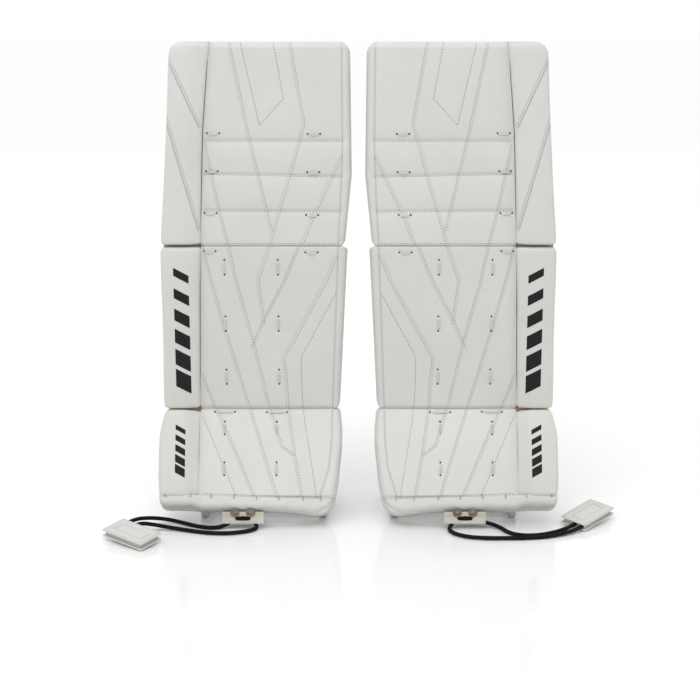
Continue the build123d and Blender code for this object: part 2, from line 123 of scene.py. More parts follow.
# ---------------------------------------------------------------- materials
class Finish:
    """A Principled material, with short calls for the nodes that feed it."""

    def __init__(self, name, rough, specular=0.5, sheen=0.0, coat=0.0, metal=0.0):
        self.material = bpy.data.materials.new(name)
        self.material.use_nodes = True
        self.tree = self.material.node_tree
        self.shader = self.tree.nodes["Principled BSDF"]
        self.shader.inputs["Roughness"].default_value = rough
        self.shader.inputs["Specular IOR Level"].default_value = specular
        self.shader.inputs["Sheen Weight"].default_value = sheen
        self.shader.inputs["Coat Weight"].default_value = coat
        self.shader.inputs["Metallic"].default_value = metal
        self.place = self.add("ShaderNodeTexCoord").outputs["Object"]

    def add(self, kind, **values):
        node = self.tree.nodes.new(kind)
        for key, value in values.items():
            if key in node.inputs:
                node.inputs[key].default_value = value
            else:
                setattr(node, key, value)
        return node

    def link(self, out, into):
        self.tree.links.new(out, into)

    def noise(self, scale, detail=2.0, rough=0.5):
        node = self.add("ShaderNodeTexNoise", Scale=scale, Detail=detail, Roughness=rough)
        self.link(self.place, node.inputs["Vector"])
        return node.outputs["Fac"]

    def turned(self, turn):
        node = self.add("ShaderNodeMapping", Rotation=turn)
        self.link(self.place, node.inputs["Vector"])
        return node.outputs["Vector"]

    def cells(self, scale):
        node = self.add("ShaderNodeTexVoronoi", Scale=scale)
        self.link(self.place, node.inputs["Vector"])
        return node.outputs["Distance"]

    def waves(self, scale, direction, distort=0.0, turn=None):
        node = self.add("ShaderNodeTexWave", Scale=scale, Distortion=distort)
        node.bands_direction = direction
        source = self.place if turn is None else self.turned(turn)
        self.link(source, node.inputs["Vector"])
        return node.outputs["Fac"]

    def attribute(self, name):
        return self.add("ShaderNodeAttribute", attribute_name=name).outputs["Fac"]

    def math(self, operation, a, b):
        node = self.add("ShaderNodeMath", operation=operation)
        for value, socket in zip((a, b), node.inputs):
            if isinstance(value, (int, float)):
                socket.default_value = value
            else:
                self.link(value, socket)
        return node.outputs["Value"]

    def ramp(self, value, low, high, out_low=0.0, out_high=1.0):
        node = self.add("ShaderNodeMapRange")
        names = ("From Min", "From Max", "To Min", "To Max")
        for name, number in zip(names, (low, high, out_low, out_high)):
            node.inputs[name].default_value = number
        self.link(value, node.inputs["Value"])
        return node.outputs["Result"]

    def blend(self, factor, a, b, kind="MIX"):
        node = self.add("ShaderNodeMix", data_type="RGBA", blend_type=kind)
        self.link(factor, node.inputs["Factor"])
        for value, socket in ((a, node.inputs["A"]), (b, node.inputs["B"])):
            if isinstance(value, tuple):
                socket.default_value = (*value, 1)
            else:
                self.link(value, socket)
        return node.outputs["Result"]

    def colour(self, value):
        if isinstance(value, tuple):
            self.shader.inputs["Base Color"].default_value = (*value, 1)
        else:
            self.link(value, self.shader.inputs["Base Color"])

    def rough(self, value):
        self.link(value, self.shader.inputs["Roughness"])

    def bump(self, *layers):
        """Height layers, each with its depth in millimetres."""
        normal = None
        for height, depth in layers:
            node = self.add("ShaderNodeBump", Distance=depth * MM, Strength=1.0)
            self.link(height, node.inputs["Height"])
            if normal is not None:
                self.link(normal, node.inputs["Normal"])
            normal = node.outputs["Normal"]
        self.link(normal, self.shader.inputs["Normal"])


def floor_paint():
    floor = Finish("studio_floor_paint", 0.12, specular=0.5)
    split = floor.add("ShaderNodeSeparateXYZ")
    floor.link(floor.place, split.inputs["Vector"])
    away = floor.ramp(split.outputs["Y"], -0.3, 1.6)
    floor.colour(floor.blend(away, (0.83, 0.83, 0.83), (0.94, 0.94, 0.94)))
    return floor.material


def leather(name, light, dark, rough=0.42, grain=0.05, scuffs=0.35):
    """Smooth coated leather: fine pebble, faint blotches, grey in the seams, painted shade beside
    the roll crease, scuffed in patches.
    """
    skin = Finish(name, rough, specular=0.4, sheen=0.05)
    blotch = skin.noise(9, 4, 0.6)
    base = skin.blend(skin.ramp(blotch, 0.3, 0.7), light, dark)
    soil_and_painted_shade = skin.ramp(skin.noise(38, 6, 0.7), 0.56, 0.78, 0.0, scuffs)
    base = skin.blend(soil_and_painted_shade, base, tuple(0.9 * c for c in dark))
    # the seam attribute darkens the seams and, on the covers, also carries the painted shade beside
    # the roll crease
    seam = skin.ramp(skin.attribute("seam"), 0.0, 1.0, 0.0, 0.62)
    base = skin.blend(seam, base, (0.30, 0.30, 0.29))
    skin.colour(base)
    skin.rough(skin.ramp(skin.noise(55, 4, 0.6), 0.3, 0.7, rough - 0.06, rough + 0.1))
    pebble = skin.cells(900)
    pores = skin.noise(2400, 2)
    creases = skin.noise(60, 5, 0.62)
    skin.bump((creases, 0.25), (pebble, grain), (pores, 0.6 * grain))
    return skin.material


def woven(name, light, dark, pitch, depth, turn=(0, 0, 0), rough=0.8, fuzz=0.25):
    """Plain weave: warp and weft ridges at right angles, with uneven yarns."""
    cloth = Finish(name, rough, specular=0.25, sheen=fuzz)
    ridges = math.pi / (pitch * MM) / 10
    warp = cloth.waves(ridges, "X", 0.4, turn)
    weft = cloth.waves(ridges, "Z", 0.4, turn)
    weave = cloth.math("MULTIPLY", warp, weft)
    yarn = cloth.noise(420, 3)
    tone = cloth.math("ADD", cloth.ramp(weave, 0, 1, 0, 0.6), cloth.ramp(yarn, 0.3, 0.7, 0, 0.4))
    cloth.colour(cloth.blend(tone, dark, light))
    cloth.bump((weave, depth), (yarn, 0.5 * depth))
    return cloth.material


def knit_felt(name, light, dark):
    """Loop pile for hook-and-loop patches."""
    felt = Finish(name, 0.95, specular=0.15, sheen=0.5)
    loops = felt.cells(1500)
    felt.colour(felt.blend(felt.ramp(loops, 0.1, 0.7), dark, light))
    felt.bump((loops, 0.35), (felt.noise(900, 3), 0.3))
    return felt.material


def thread_yarn(name, colour):
    yarn = Finish(name, 0.7, specular=0.3, sheen=0.3)
    twist = yarn.noise(1800, 2)
    yarn.colour(yarn.blend(twist, tuple(0.75 * c for c in colour), colour))
    yarn.bump((twist, 0.08))
    return yarn.material


def braid(name):
    """Black elastic: a braided sleeve, pale where the weave lifts."""
    sleeve = Finish(name, 0.8, specular=0.12, sheen=0.02)
    one = sleeve.waves(95, "DIAGONAL", 0.6)
    two = sleeve.waves(95, "DIAGONAL", 0.6, (0, math.radians(90), math.radians(90)))
    crossing = sleeve.math("MAXIMUM", one, two)
    fray = sleeve.noise(1400, 3)
    tone = sleeve.math("MULTIPLY", crossing, fray)
    sleeve.colour(sleeve.blend(tone, (0.003, 0.003, 0.0032), (0.014, 0.014, 0.0155)))
    sleeve.bump((crossing, 0.35), (fray, 0.15))
    return sleeve.material


def aged_metal(name, colour, rough):
    metal = Finish(name, rough, metal=1.0)
    stain = metal.noise(240, 5, 0.65)
    metal.colour(metal.blend(metal.ramp(stain, 0.35, 0.7), colour, tuple(0.45 * c for c in colour)))
    metal.rough(metal.ramp(stain, 0.3, 0.7, rough - 0.1, rough + 0.2))
    metal.bump((metal.noise(700, 3), 0.05))
    return metal.material


def black_print(name):
    """Printed bars on the rolls: thin satin film that takes the leather's grain."""
    film = Finish(name, 0.6, specular=0.2)
    worn = film.noise(420, 5, 0.7)
    flaws = film.ramp(worn, 0.62, 0.8, 0, 0.5)
    film.colour(film.blend(flaws, (0.009, 0.009, 0.0095), (0.06, 0.06, 0.06)))
    film.bump((film.cells(900), 0.04))
    return film.material


def strip_leather(name):
    """Bridge leather: cream in its upper part, white along its lower edge."""
    skin = Finish(name, 0.5, specular=0.4)
    height = skin.add("ShaderNodeSeparateXYZ")
    skin.link(skin.place, height.inputs["Vector"])
    # cream above this height, white below it
    fold = skin.math("ADD", height.outputs["Z"], skin.math("MULTIPLY", skin.noise(30, 3), 0.004))
    tone = skin.ramp(fold, 0.0185, 0.0225)
    white = skin.blend(skin.noise(40, 4), (0.53, 0.525, 0.495), (0.58, 0.575, 0.55))
    cream = skin.blend(skin.noise(90, 4), (0.45, 0.405, 0.33), (0.57, 0.525, 0.44))
    skin.colour(skin.blend(tone, white, cream))
    skin.bump((skin.noise(60, 5, 0.62), 0.2), (skin.cells(900), 0.05))
    return skin.material


def gusset_suede(name):
    """Hinge suede: pale across the face, left tan behind the rolls."""
    suede = Finish(name, 0.85, specular=0.2, sheen=0.2)
    nap = suede.noise(700, 4, 0.6)
    pale = suede.blend(nap, (0.42, 0.42, 0.40), (0.52, 0.52, 0.50))
    tan = suede.blend(nap, (0.42, 0.29, 0.18), (0.56, 0.40, 0.26))
    suede.colour(suede.blend(suede.attribute("seam"), pale, tan))
    suede.bump((nap, 0.15))
    return suede.material


WHITE, SHADE = (0.565, 0.57, 0.54), (0.53, 0.535, 0.505)
PAINT = {
    "face_leather": leather("face_leather", WHITE, SHADE),
    # painted light: the boot's leather is the face leather made lighter, for the upturned boot face
    # catching more light from above
    "boot_leather": leather("boot_leather", (0.59, 0.595, 0.565), (0.555, 0.56, 0.53)),
    "roll_leather": leather("roll_leather", (0.565, 0.57, 0.54), (0.53, 0.535, 0.505), rough=0.38),
    "rail_leather": leather("rail_leather", (0.60, 0.60, 0.58), (0.52, 0.52, 0.495), scuffs=0.6),
    "bridge_leather": strip_leather("bridge_leather"),
    "tab_leather": leather("tab_leather", (0.56, 0.56, 0.535), (0.525, 0.525, 0.50), rough=0.5),
    "lining_nylon": woven("lining_nylon", (0.62, 0.62, 0.61), (0.43, 0.43, 0.42), 1.3, 0.25),
    "wing_nylon": woven("wing_nylon", (0.64, 0.64, 0.63), (0.47, 0.47, 0.46), 0.9, 0.15),
    "webbing": woven("webbing", (0.70, 0.70, 0.69), (0.45, 0.45, 0.44), 1.6, 0.45),
    "loop_pile": knit_felt("loop_pile", (0.62, 0.62, 0.61), (0.36, 0.36, 0.35)),
    "tab_pad": knit_felt("tab_pad", (0.60, 0.53, 0.49), (0.44, 0.38, 0.345)),
    # the thread's dark grey is partly its own colour and partly painted shade of the stitch holes
    "thread": thread_yarn("thread", (0.12, 0.12, 0.118)),
    "gusset_suede": gusset_suede("gusset_suede"),
    "toe_lace": thread_yarn("toe_lace", (0.30, 0.30, 0.29)),
    "lace": thread_yarn("lace", (0.62, 0.62, 0.60)),
    # painted shade: the black of the lace holes, for the shade inside each hole
    "eyelet": thread_yarn("eyelet", (0.03, 0.03, 0.03)),
    "tie_elastic": braid("tie_elastic"),
    "rivet_metal": aged_metal("rivet_metal", (0.36, 0.28, 0.23), 0.42),
    "black_print": black_print("black_print"),
}


# ---------------------------------------------------------------- sections of a pad
class Section:
    """One section's face plane and outline. Tables run from the low end to the high end."""

    def __init__(self, name, height, lean, ends, inner, crease, outer, top_slope, body):
        self.name = name
        self.height = height
        self.lean = math.radians(lean)
        self.low, self.high = ends
        self.tables = {"inner": inner, "crease": crease, "outer": outer}
        self.top_slope = top_slope
        self.body = body

    def edge(self, which, s):
        heights, places = zip(*[(h, x) for x, h in self.tables[which]])
        return np.interp(s, heights, places)

    def place(self, x, s, depth):
        """Points in the frame, in metres, from the section's own millimetres."""
        x, s, depth = np.broadcast_arrays(*map(np.asarray, (x, s, depth)))
        y = FACE_Y + s * math.sin(self.lean) + depth * math.cos(self.lean)
        z = self.height + s * math.cos(self.lean) - depth * math.sin(self.lean)
        return np.stack([x, y, z], -1) * MM


BREAK_GAP = 0.8
FLEX_WEDGE = math.tan(math.radians(13))
BOOT_WEDGE = math.tan(math.radians(24 - 13))
THIGH = Section(
    "thigh", KNEE[2] / MM, 4, (BREAK_GAP, 291.5),
    [(20.5, 0), (10.7, 100), (12.9, 291)],
    [(229, 0), (222.8, 165), (212, 291)],
    [(288.9, 0), (270.6, 291)], 0, "thigh",
)
SHIN = Section(
    "shin", 0, 0, (ANKLE[2] / MM + BREAK_GAP, KNEE[2] / MM - BREAK_GAP),
    [(28.4, 169), (16.4, 415)],
    [(234.8, 168), (229, 415)],
    [(290.4, 169), (289.4, 415)], -FLEX_WEDGE, "shin",
)
BOOT = Section(
    "boot", ANKLE[2] / MM, 24, (-151.3, -BREAK_GAP),
    [(46, -160), (36.5, -134), (31, -105), (25.2, -50), (25.2, -25), (28.2, 0)],
    [(236.3, -160), (235, 0)],
    [(293.5, -151), (296.4, -110), (296.4, -40), (288, 0)], BOOT_WEDGE, "boot",
)
SECTIONS = (THIGH, SHIN, BOOT)


def fall(distance, radius):
    """How far a rounded edge has dropped, at a distance in from the edge."""
    gap = radius - np.clip(distance, 0, radius)
    return radius - np.sqrt(np.maximum(radius**2 - gap**2, 0))


def toe_dip(x):
    """The boot's lower edge hangs lower towards its inner side."""
    return np.interp(x, [42, 66, 105, 140, 225, 250, 293], [-6.8, -6.2, -0.8, 0.2, 0.4, 2.6, 2.6])


# Seams of the face: (points across and up, kind). A lapped seam has a stitch row beside it,
# a row is stitching alone, and a channel is pulled down between two padded rolls.
SEAMS = {
    "thigh": [
        ([(186.5, 292), (158.9, 153.4), (128.2, 22.1)], "lap", -1),
        ([(100.2, 292), (79.8, 176.3), (100.3, 104.8), (128.3, 10.4), (131.2, 0)], "lap", -1),
        ([(168.7, 292), (142, 173.8), (107.2, 211.8), (121.7, 292)], "row", 0),
        ([(223.2, 145.8), (204.1, 53.3), (190.7, 0)], "lap", -1),
        ([(25.6, 130.5), (67.2, 42.9), (84.3, 0)], "lap", -1),
        ([(224, 152.5), (23, 152.5)], "channel", 1),
        ([(225, 105), (24, 101)], "channel", 1),
        ([(228, 52), (26, 50.5)], "channel", 1),
        ([(24, 290), (23, 145.8), (25.7, 68.8), (29.7, 0)], "edge", 0),
        ([(229, 3.4), (30, 3.4)], "row", 0),
    ],
    "shin": [
        ([(131.2, 415), (148.1, 366), (148.6, 364.4), (140.5, 298.6)], "lap", -1),
        ([(190.7, 415), (181.2, 364.4), (155.4, 264.7), (134, 168)], "lap", -1),
        ([(84.3, 415), (106.9, 361.7), (140.5, 297.3), (155.5, 260.7)], "lap", 1),
        ([(33.7, 400.5), (48.2, 364.4), (112.2, 245.7), (108.6, 212.8), (106.4, 168)], "lap", -1),
        ([(228.5, 412), (217.8, 364.4), (197.2, 286.5), (187.4, 251.1), (163.6, 168)], "lap", -1),
        ([(233.6, 218.3), (214.2, 168)], "lap", -1),
        ([(33.9, 343), (84.4, 248.4), (84.7, 212.8), (82.4, 168)], "row", 0),
        ([(29.5, 414), (31.2, 364), (38.5, 168)], "edge", 0),
        ([(234.5, 172.4), (38.5, 172.4)], "row", 0),
    ],
    "boot": [
        ([(134, 0), (126.2, -21.4), (116.6, -56.1), (97.9, -70.8)], "lap", -1),
        ([(106.4, 0), (103.6, -21.4), (96.6, -69.5), (85.7, -131)], "lap", -1),
        ([(163.6, 0), (148.5, -48.2), (122.5, -131)], "lap", -1),
        ([(214.2, 0), (196.4, -37.5), (156.5, -130)], "lap", -1),
        ([(82.4, 0), (79.7, -21.4), (61.9, -131)], "row", 0),
        ([(231.3, -13.4), (182, -128)], "row", 0),
        ([(38.5, 0), (39.7, -48.2), (43.6, -88), (57, -132)], "edge", 0),
    ],
}
GROOVE = {  # depth and half width of the cut, then of the hollow round it
    "lap": (0.75, 0.9, 0.35, 6.0),
    "row": (0.0, 0.9, 0.4, 4.0),
    "channel": (0.9, 1.3, 2.9, 9.5),
    "edge": (0.8, 1.1, 0.5, 7.0),
}
MARK = {  # how dark the seam is, and its half width
    "lap": (0.5, 0.85),
    "row": (0.0, 0.85),
    "channel": (0.3, 0.85),
    "edge": (0.85, 1.2),
}

# Lace loops: middle and length, level or upright
LEVEL_LACES = {
    "thigh": [(64, 161.6, 18), (208.8, 162.6, 18), (65.2, 106.9, 17.5), (211.6, 108.2, 17),
              (67.2, 45, 17.5), (214.3, 47.6, 17.5)],
    "shin": [(68.5, 405.3, 18), (216.5, 407, 17)],
    "boot": [(121.7, -5.4, 30), (199, -4.8, 30)],
}
UPRIGHT_LACES = {
    "thigh": [],
    "shin": [(x, s, 22) for s in (383, 298.5, 217.5) for x in (117.5, 195.5)],
    "boot": [(x, s, 19) for s in (-29, -90) for x in (121.5, 199)],
}
TOE_TICKS = (55.5, 82, 117.5, 150.5, 183.5, 217.5, 248, 285)


def to_line(points, line):
    """Distance of each point to a line of straight runs, and the side that it lies on."""
    best = np.full(len(points), 1e9)
    side = np.zeros(len(points))
    corners = np.asarray(line, float)
    for a, b in zip(corners[:-1], corners[1:]):
        run = b - a
        t = np.clip(((points - a) @ run) / (run @ run), 0, 1)
        gap = points - (a + t[:, None] * run)
        distance = np.hypot(gap[:, 0], gap[:, 1])
        closer = distance < best
        best = np.where(closer, distance, best)
        side = np.where(closer, np.sign(run[0] * gap[:, 1] - run[1] * gap[:, 0]), side)
    return best, side


def eyelets(section):
    """Where the laces go through the face."""
    holes = []
    for x, s, length in LEVEL_LACES[section.name]:
        holes += [(x - length / 2, s), (x + length / 2, s)]
    for x, s, length in UPRIGHT_LACES[section.name]:
        holes += [(x, s - length / 2), (x, s + length / 2)]
    return holes


def relief(section, x, s):
    """Height of the face above its plane from seams, padding and lace holes, and how dark
    the seam is there."""
    points = np.stack([x.ravel(), s.ravel()], -1)
    cut = np.zeros(len(points))
    hollow = np.zeros(len(points))
    mark = np.zeros(len(points))
    raised = np.zeros(len(points))
    for line, kind, side in SEAMS[section.name]:
        depth, half, soft_depth, soft_half = GROOVE[kind]
        distance, hand = to_line(points, line)
        cut = np.maximum(cut, depth * np.exp(-((distance / half) ** 2)))
        spread = (distance / soft_half) ** (2 if kind == "row" else 1)
        hollow = np.maximum(hollow, soft_depth * np.exp(-spread))
        dark, width = MARK[kind]
        mark = np.maximum(mark, dark * np.exp(-((distance / width) ** 2)))
        if kind == "lap":
            raised = np.maximum(raised, 0.5 * np.exp(-distance / 9) * (hand == side))
    for hole in eyelets(section):
        distance = np.hypot(points[:, 0] - hole[0], points[:, 1] - hole[1])
        hollow = np.maximum(hollow, 1.3 * np.exp(-((distance / 2.6) ** 2)))
    sway = 0.35 * np.sin(points[:, 0] / 31 + points[:, 1] / 47) * np.sin(points[:, 1] / 26 + 1.3)
    height = raised - cut - hollow + sway
    return height.reshape(x.shape), mark.reshape(x.shape)


def face_depth(section, x, s):
    """Depth of the face's surface behind its plane, without the seat of the roll."""
    inner, crease = section.edge("inner", s), section.edge("crease", s)
    depth = fall(x - inner, EDGE_ROUND) + fall(crease - x, CREASE_ROUND)
    low_round = EDGE_ROUND if section is BOOT else BREAK_ROUND
    high_round = EDGE_ROUND if section is THIGH else BREAK_ROUND
    low = section.low + (toe_dip(x) if section is BOOT else 0)
    depth = depth + fall(s - low, low_round) + fall(section.high - s, high_round)
    valley, reach = CREASE_VALLEY[section.name]
    if section is THIGH:
        valley = valley * (0.55 + 0.45 * np.exp(-(((s - 150) / 65) ** 2)))
    depth = depth + valley * np.exp(-(((crease - x) / reach) ** 2))
    if section is BOOT:
        depth = depth + 2.2 * np.clip((-129 - s) / 3, 0, 1)
    height, mark = relief(section, x, s)
    edge_fade = np.clip((x - inner) / 6, 0, 1) * np.clip((crease - x) / 5, 0, 1)
    soil_and_painted_shade = 0.2 * np.exp(-(((crease - x) / 7) ** 2))  # painted shade: the leather is greyed beside the roll, where shade falls in the crease
    return depth - height * edge_fade, np.maximum(mark * edge_fade, soil_and_painted_shade)


def spaced(length, cell, start_round, end_round):
    """Places along a length, set closer where a rounded edge begins and ends."""
    start = start_round * (1 - np.cos(np.linspace(0, math.pi / 2, 6)))
    end = length - end_round * (1 - np.cos(np.linspace(math.pi / 2, 0, 6)))
    middle = np.linspace(start[-1], end[0], max(2, int((end[0] - start[-1]) / cell)))
    return np.concatenate([start, middle[1:-1], end]) / length


def corner_tuck(section, s, which):
    """How far the outline comes in at its round corners."""
    low_radius = {"thigh": 5, "shin": 6, "boot": 20 if which == "inner" else 8}[section.name]
    high_radius = {"thigh": 17, "shin": 6, "boot": 6}[section.name]
    return fall(s - section.low, low_radius) + fall(section.high - s, high_radius)


def mesh_object(name, vertices, faces, material, marks=None):
    """A piece with its place in its mesh, smooth, and facing outwards."""
    mesh = bpy.data.meshes.new(name)
    mesh.from_pydata([tuple(v) for v in vertices], [], faces)
    mesh.validate()
    work = bmesh.new()
    work.from_mesh(mesh)
    bmesh.ops.recalc_face_normals(work, faces=work.faces)
    work.to_mesh(mesh)
    work.free()
    mesh.shade_smooth()
    mesh.materials.append(material)
    if marks is not None:
        layer = mesh.attributes.new("seam", "FLOAT", "POINT")
        layer.data.foreach_set("value", np.asarray(marks, np.float32))
    piece = bpy.data.objects.new(name, mesh)
    scene.collection.objects.link(piece)
    return piece


def mirrored(piece, name):
    """The same piece for the right pad."""
    mesh = piece.data.copy()
    mesh.transform(Matrix.Diagonal((-1, 1, 1, 1)))
    mesh.flip_normals()
    other = bpy.data.objects.new(name, mesh)
    scene.collection.objects.link(other)
    return other


def both_sides(piece, name, body, nodes):
    """Dresses the left pad with a piece and the right pad with its mirror image."""
    other = mirrored(piece, "right_" + name)
    piece.name = "left_" + name
    for side, one in (("left", piece), ("right", other)):
        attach(one, side + "_" + body)
        if nodes:
            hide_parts(*[side + "_" + node for node in nodes])
    return piece


def grid_faces(rows, columns):
    row, column = np.meshgrid(np.arange(rows - 1), np.arange(columns - 1), indexing="ij")
    a = (row * columns + column).ravel()
    return np.stack([a, a + 1, a + columns + 1, a + columns], -1).tolist()


def rim_walls(rows, columns, size):
    """Faces that join the borders of two grids of the same shape."""
    rim = [c for c in range(columns)] + [r * columns + columns - 1 for r in range(1, rows)]
    rim += [(rows - 1) * columns + c for c in range(columns - 2, -1, -1)]
    rim += [r * columns for r in range(rows - 2, 0, -1)]
    following = rim[1:] + rim[:1]
    return [[a, b, b + size, a + size] for a, b in zip(rim, following)]


def closed_sheet(front, back, rows, columns):
    """Two grids of points, joined round their borders into one closed piece."""
    size = rows * columns
    faces = grid_faces(rows, columns)
    faces += [[i + size for i in face] for face in faces]
    faces += rim_walls(rows, columns, size)
    return np.concatenate([front.reshape(-1, 3), back.reshape(-1, 3)]), faces


WALL_RINGS = (  # side wall of a cover: part of the way back, tucked in by, swollen by
    (0.15, 0, 0.2), (0.4, 0, 0.8), (0.7, 0, 0.9), (0.93, 0, 0.3), (1.0, 0.8, 0), (1.0, 3.5, 0),
)


def make_cover(section, cell=1.15):
    """The leather cover of a section: seamed face, seat for the roll and four side walls."""
    length = section.high - section.low
    rows = spaced(length, cell, EDGE_ROUND if section is BOOT else BREAK_ROUND,
                  EDGE_ROUND if section is THIGH else BREAK_ROUND)
    middle = 0.5 * (section.low + section.high)
    face_width = section.edge("crease", middle) - section.edge("inner", middle)
    across = spaced(face_width, cell, EDGE_ROUND, CREASE_ROUND)
    beyond = np.array([0.01, 0.06, 0.5, 0.9, 0.96, 0.985, 1.0])
    v = rows[:, None]
    s0 = section.low + v * length
    inner = section.edge("inner", s0) + corner_tuck(section, s0, "inner")
    outer = section.edge("outer", s0) - corner_tuck(section, s0, "outer")
    crease = section.edge("crease", s0)
    x = np.concatenate([inner + across * (crease - inner), crease + beyond * (outer - crease)], 1)
    s = np.broadcast_to(s0, x.shape).copy()
    if section is BOOT:
        s += toe_dip(x) * (1 - v)
    face_x = np.minimum(x, crease)
    depth, mark = face_depth(section, face_x, s)
    is_seat = x > crease + 0.02
    seat_depth = ROLL_SEAT + 0.6 + fall(outer - x, 4.0)
    depth = np.where(is_seat, seat_depth, depth)
    mark = np.where(is_seat, 0, mark)
    # side walls run back from the border of the face
    n_rows, n_columns = x.shape
    border = [(0, c) for c in range(n_columns)]
    border += [(r, n_columns - 1) for r in range(1, n_rows)]
    border += [(n_rows - 1, c) for c in range(n_columns - 2, -1, -1)]
    border += [(r, 0) for r in range(n_rows - 2, 0, -1)]
    rim = tuple(np.array(border).T)
    start = depth[rim]
    centre_x, centre_s = 0.5 * (x[rim].min() + x[rim].max()), middle
    walls_x, walls_s, walls_depth = [x.ravel()], [s.ravel()], [depth.ravel()]
    for t, tuck, swell in WALL_RINGS:
        away = np.stack([x[rim] - centre_x, s[rim] - centre_s], -1)
        away = np.sign(away) * (np.abs(away) > np.array([0.46 * face_width, 0.485 * length]))
        walls_x.append(x[rim] + away[:, 0] * (swell - tuck))
        ends_free = (s[rim] < middle) if section is not THIGH else (s[rim] > middle)
        walls_s.append(s[rim] + away[:, 1] * (np.where(ends_free, swell, 0) - tuck))
        walls_depth.append(start + t * (PAD_DEPTH - start) - 0.4 * (tuck > 3))
    count = len(border)
    faces = grid_faces(n_rows, n_columns)
    first = np.array([r * n_columns + c for r, c in border])
    rings = [first] + [x.size + k * count + np.arange(count) for k in range(len(WALL_RINGS))]
    for ring, following in zip(rings, rings[1:]):
        faces += np.stack([ring, following, np.roll(following, -1), np.roll(ring, -1)], -1).tolist()
    faces.append(rings[-1].tolist())
    all_x, all_s, all_depth = map(np.concatenate, (walls_x, walls_s, walls_depth))
    near_top = np.clip((all_s - (section.high - 30)) / 30, 0, 1)
    all_s = all_s + near_top * section.top_slope * np.clip(all_depth, 0, None)
    marks = np.concatenate([mark.ravel(), np.zeros(len(all_x) - mark.size)])
    piece = mesh_object(section.name + "_cover", section.place(all_x, all_s, all_depth), faces,
                        PAINT["boot_leather" if section is BOOT else "face_leather"], marks)
    return both_sides(piece, section.name + "_leather", section.body,
                      [section.name + "_cover", section.name + "_core"])


# ---------------------------------------------------------------- stitches and laces
def node_tree(name, inputs):
    """An empty Geometry Nodes tree with named number inputs."""
    tree = bpy.data.node_groups.new(name, "GeometryNodeTree")
    tree.interface.new_socket("Geometry", in_out="INPUT", socket_type="NodeSocketGeometry")
    for label, value in inputs.items():
        socket = tree.interface.new_socket(label, in_out="INPUT", socket_type="NodeSocketFloat")
        socket.default_value = value
    tree.interface.new_socket("Geometry", in_out="OUTPUT", socket_type="NodeSocketGeometry")
    return tree, tree.nodes.new("NodeGroupInput"), tree.nodes.new("NodeGroupOutput")


def stitch_tree():
    """Thread stitches along a curve: short round-ended rods set at the pitch."""
    sizes = {"Pitch": 0.0044, "Length": 0.0028, "Thickness": 0.0007}
    tree, given, result = node_tree("stitches", sizes)
    new, link = tree.nodes.new, tree.links.new
    resample = new("GeometryNodeResampleCurve")
    resample.mode = "LENGTH"
    link(given.outputs["Geometry"], resample.inputs["Curve"])
    link(given.outputs["Pitch"], resample.inputs["Length"])
    tangent = new("GeometryNodeInputTangent")
    align = new("FunctionNodeAlignEulerToVector")
    align.axis = "Z"
    link(tangent.outputs["Tangent"], align.inputs["Vector"])
    rod = new("GeometryNodeMeshIcoSphere")
    rod.inputs["Radius"].default_value = 0.5
    rod.inputs["Subdivisions"].default_value = 1
    size = new("ShaderNodeCombineXYZ")
    link(given.outputs["Thickness"], size.inputs["X"])
    link(given.outputs["Thickness"], size.inputs["Y"])
    link(given.outputs["Length"], size.inputs["Z"])
    scatter = new("GeometryNodeInstanceOnPoints")
    link(resample.outputs["Curve"], scatter.inputs["Points"])
    link(rod.outputs["Mesh"], scatter.inputs["Instance"])
    link(align.outputs["Rotation"], scatter.inputs["Rotation"])
    link(size.outputs["Vector"], scatter.inputs["Scale"])
    real = new("GeometryNodeRealizeInstances")
    link(scatter.outputs["Instances"], real.inputs["Geometry"])
    paint = new("GeometryNodeSetMaterial")
    paint.inputs["Material"].default_value = PAINT["thread"]
    link(real.outputs["Geometry"], paint.inputs["Geometry"])
    link(paint.outputs["Geometry"], result.inputs["Geometry"])
    return tree


STITCHES = stitch_tree()


def baked(host, name):
    """The evaluated result of an object's modifier as a plain mesh piece."""
    shown = host.evaluated_get(bpy.context.evaluated_depsgraph_get())
    mesh = bpy.data.meshes.new_from_object(shown)
    bpy.data.objects.remove(host)
    piece = bpy.data.objects.new(name, mesh)
    scene.collection.objects.link(piece)
    mesh.shade_smooth()
    return piece


def sew(name, paths, pitch=STITCH_PITCH, length=2.3, thickness=1.05):
    """Stitches along paths of points in metres."""
    curve = bpy.data.curves.new(name, "CURVE")
    curve.dimensions = "3D"
    for path in paths:
        spline = curve.splines.new("POLY")
        spline.points.add(len(path) - 1)
        spline.points.foreach_set("co", np.column_stack([path, np.ones(len(path))]).ravel())
    host = bpy.data.objects.new(name, curve)
    scene.collection.objects.link(host)
    modifier = host.modifiers.new("stitches", "NODES")
    modifier.node_group = STITCHES
    values = {"Pitch": pitch * MM, "Length": length * MM, "Thickness": thickness * MM}
    for socket in STITCHES.interface.items_tree:
        if socket.in_out == "INPUT" and socket.name in values:
            modifier[socket.identifier] = values[socket.name]
    return baked(host, name)


def walk(line, step=1.5):
    """Evenly close points along straight runs."""
    corners = np.asarray(line, float)
    out = []
    for a, b in zip(corners[:-1], corners[1:]):
        n = max(2, int(np.hypot(*(b - a)) / step))
        out.append(a + np.linspace(0, 1, n, endpoint=False)[:, None] * (b - a))
    out.append(corners[-1:])
    return np.concatenate(out)


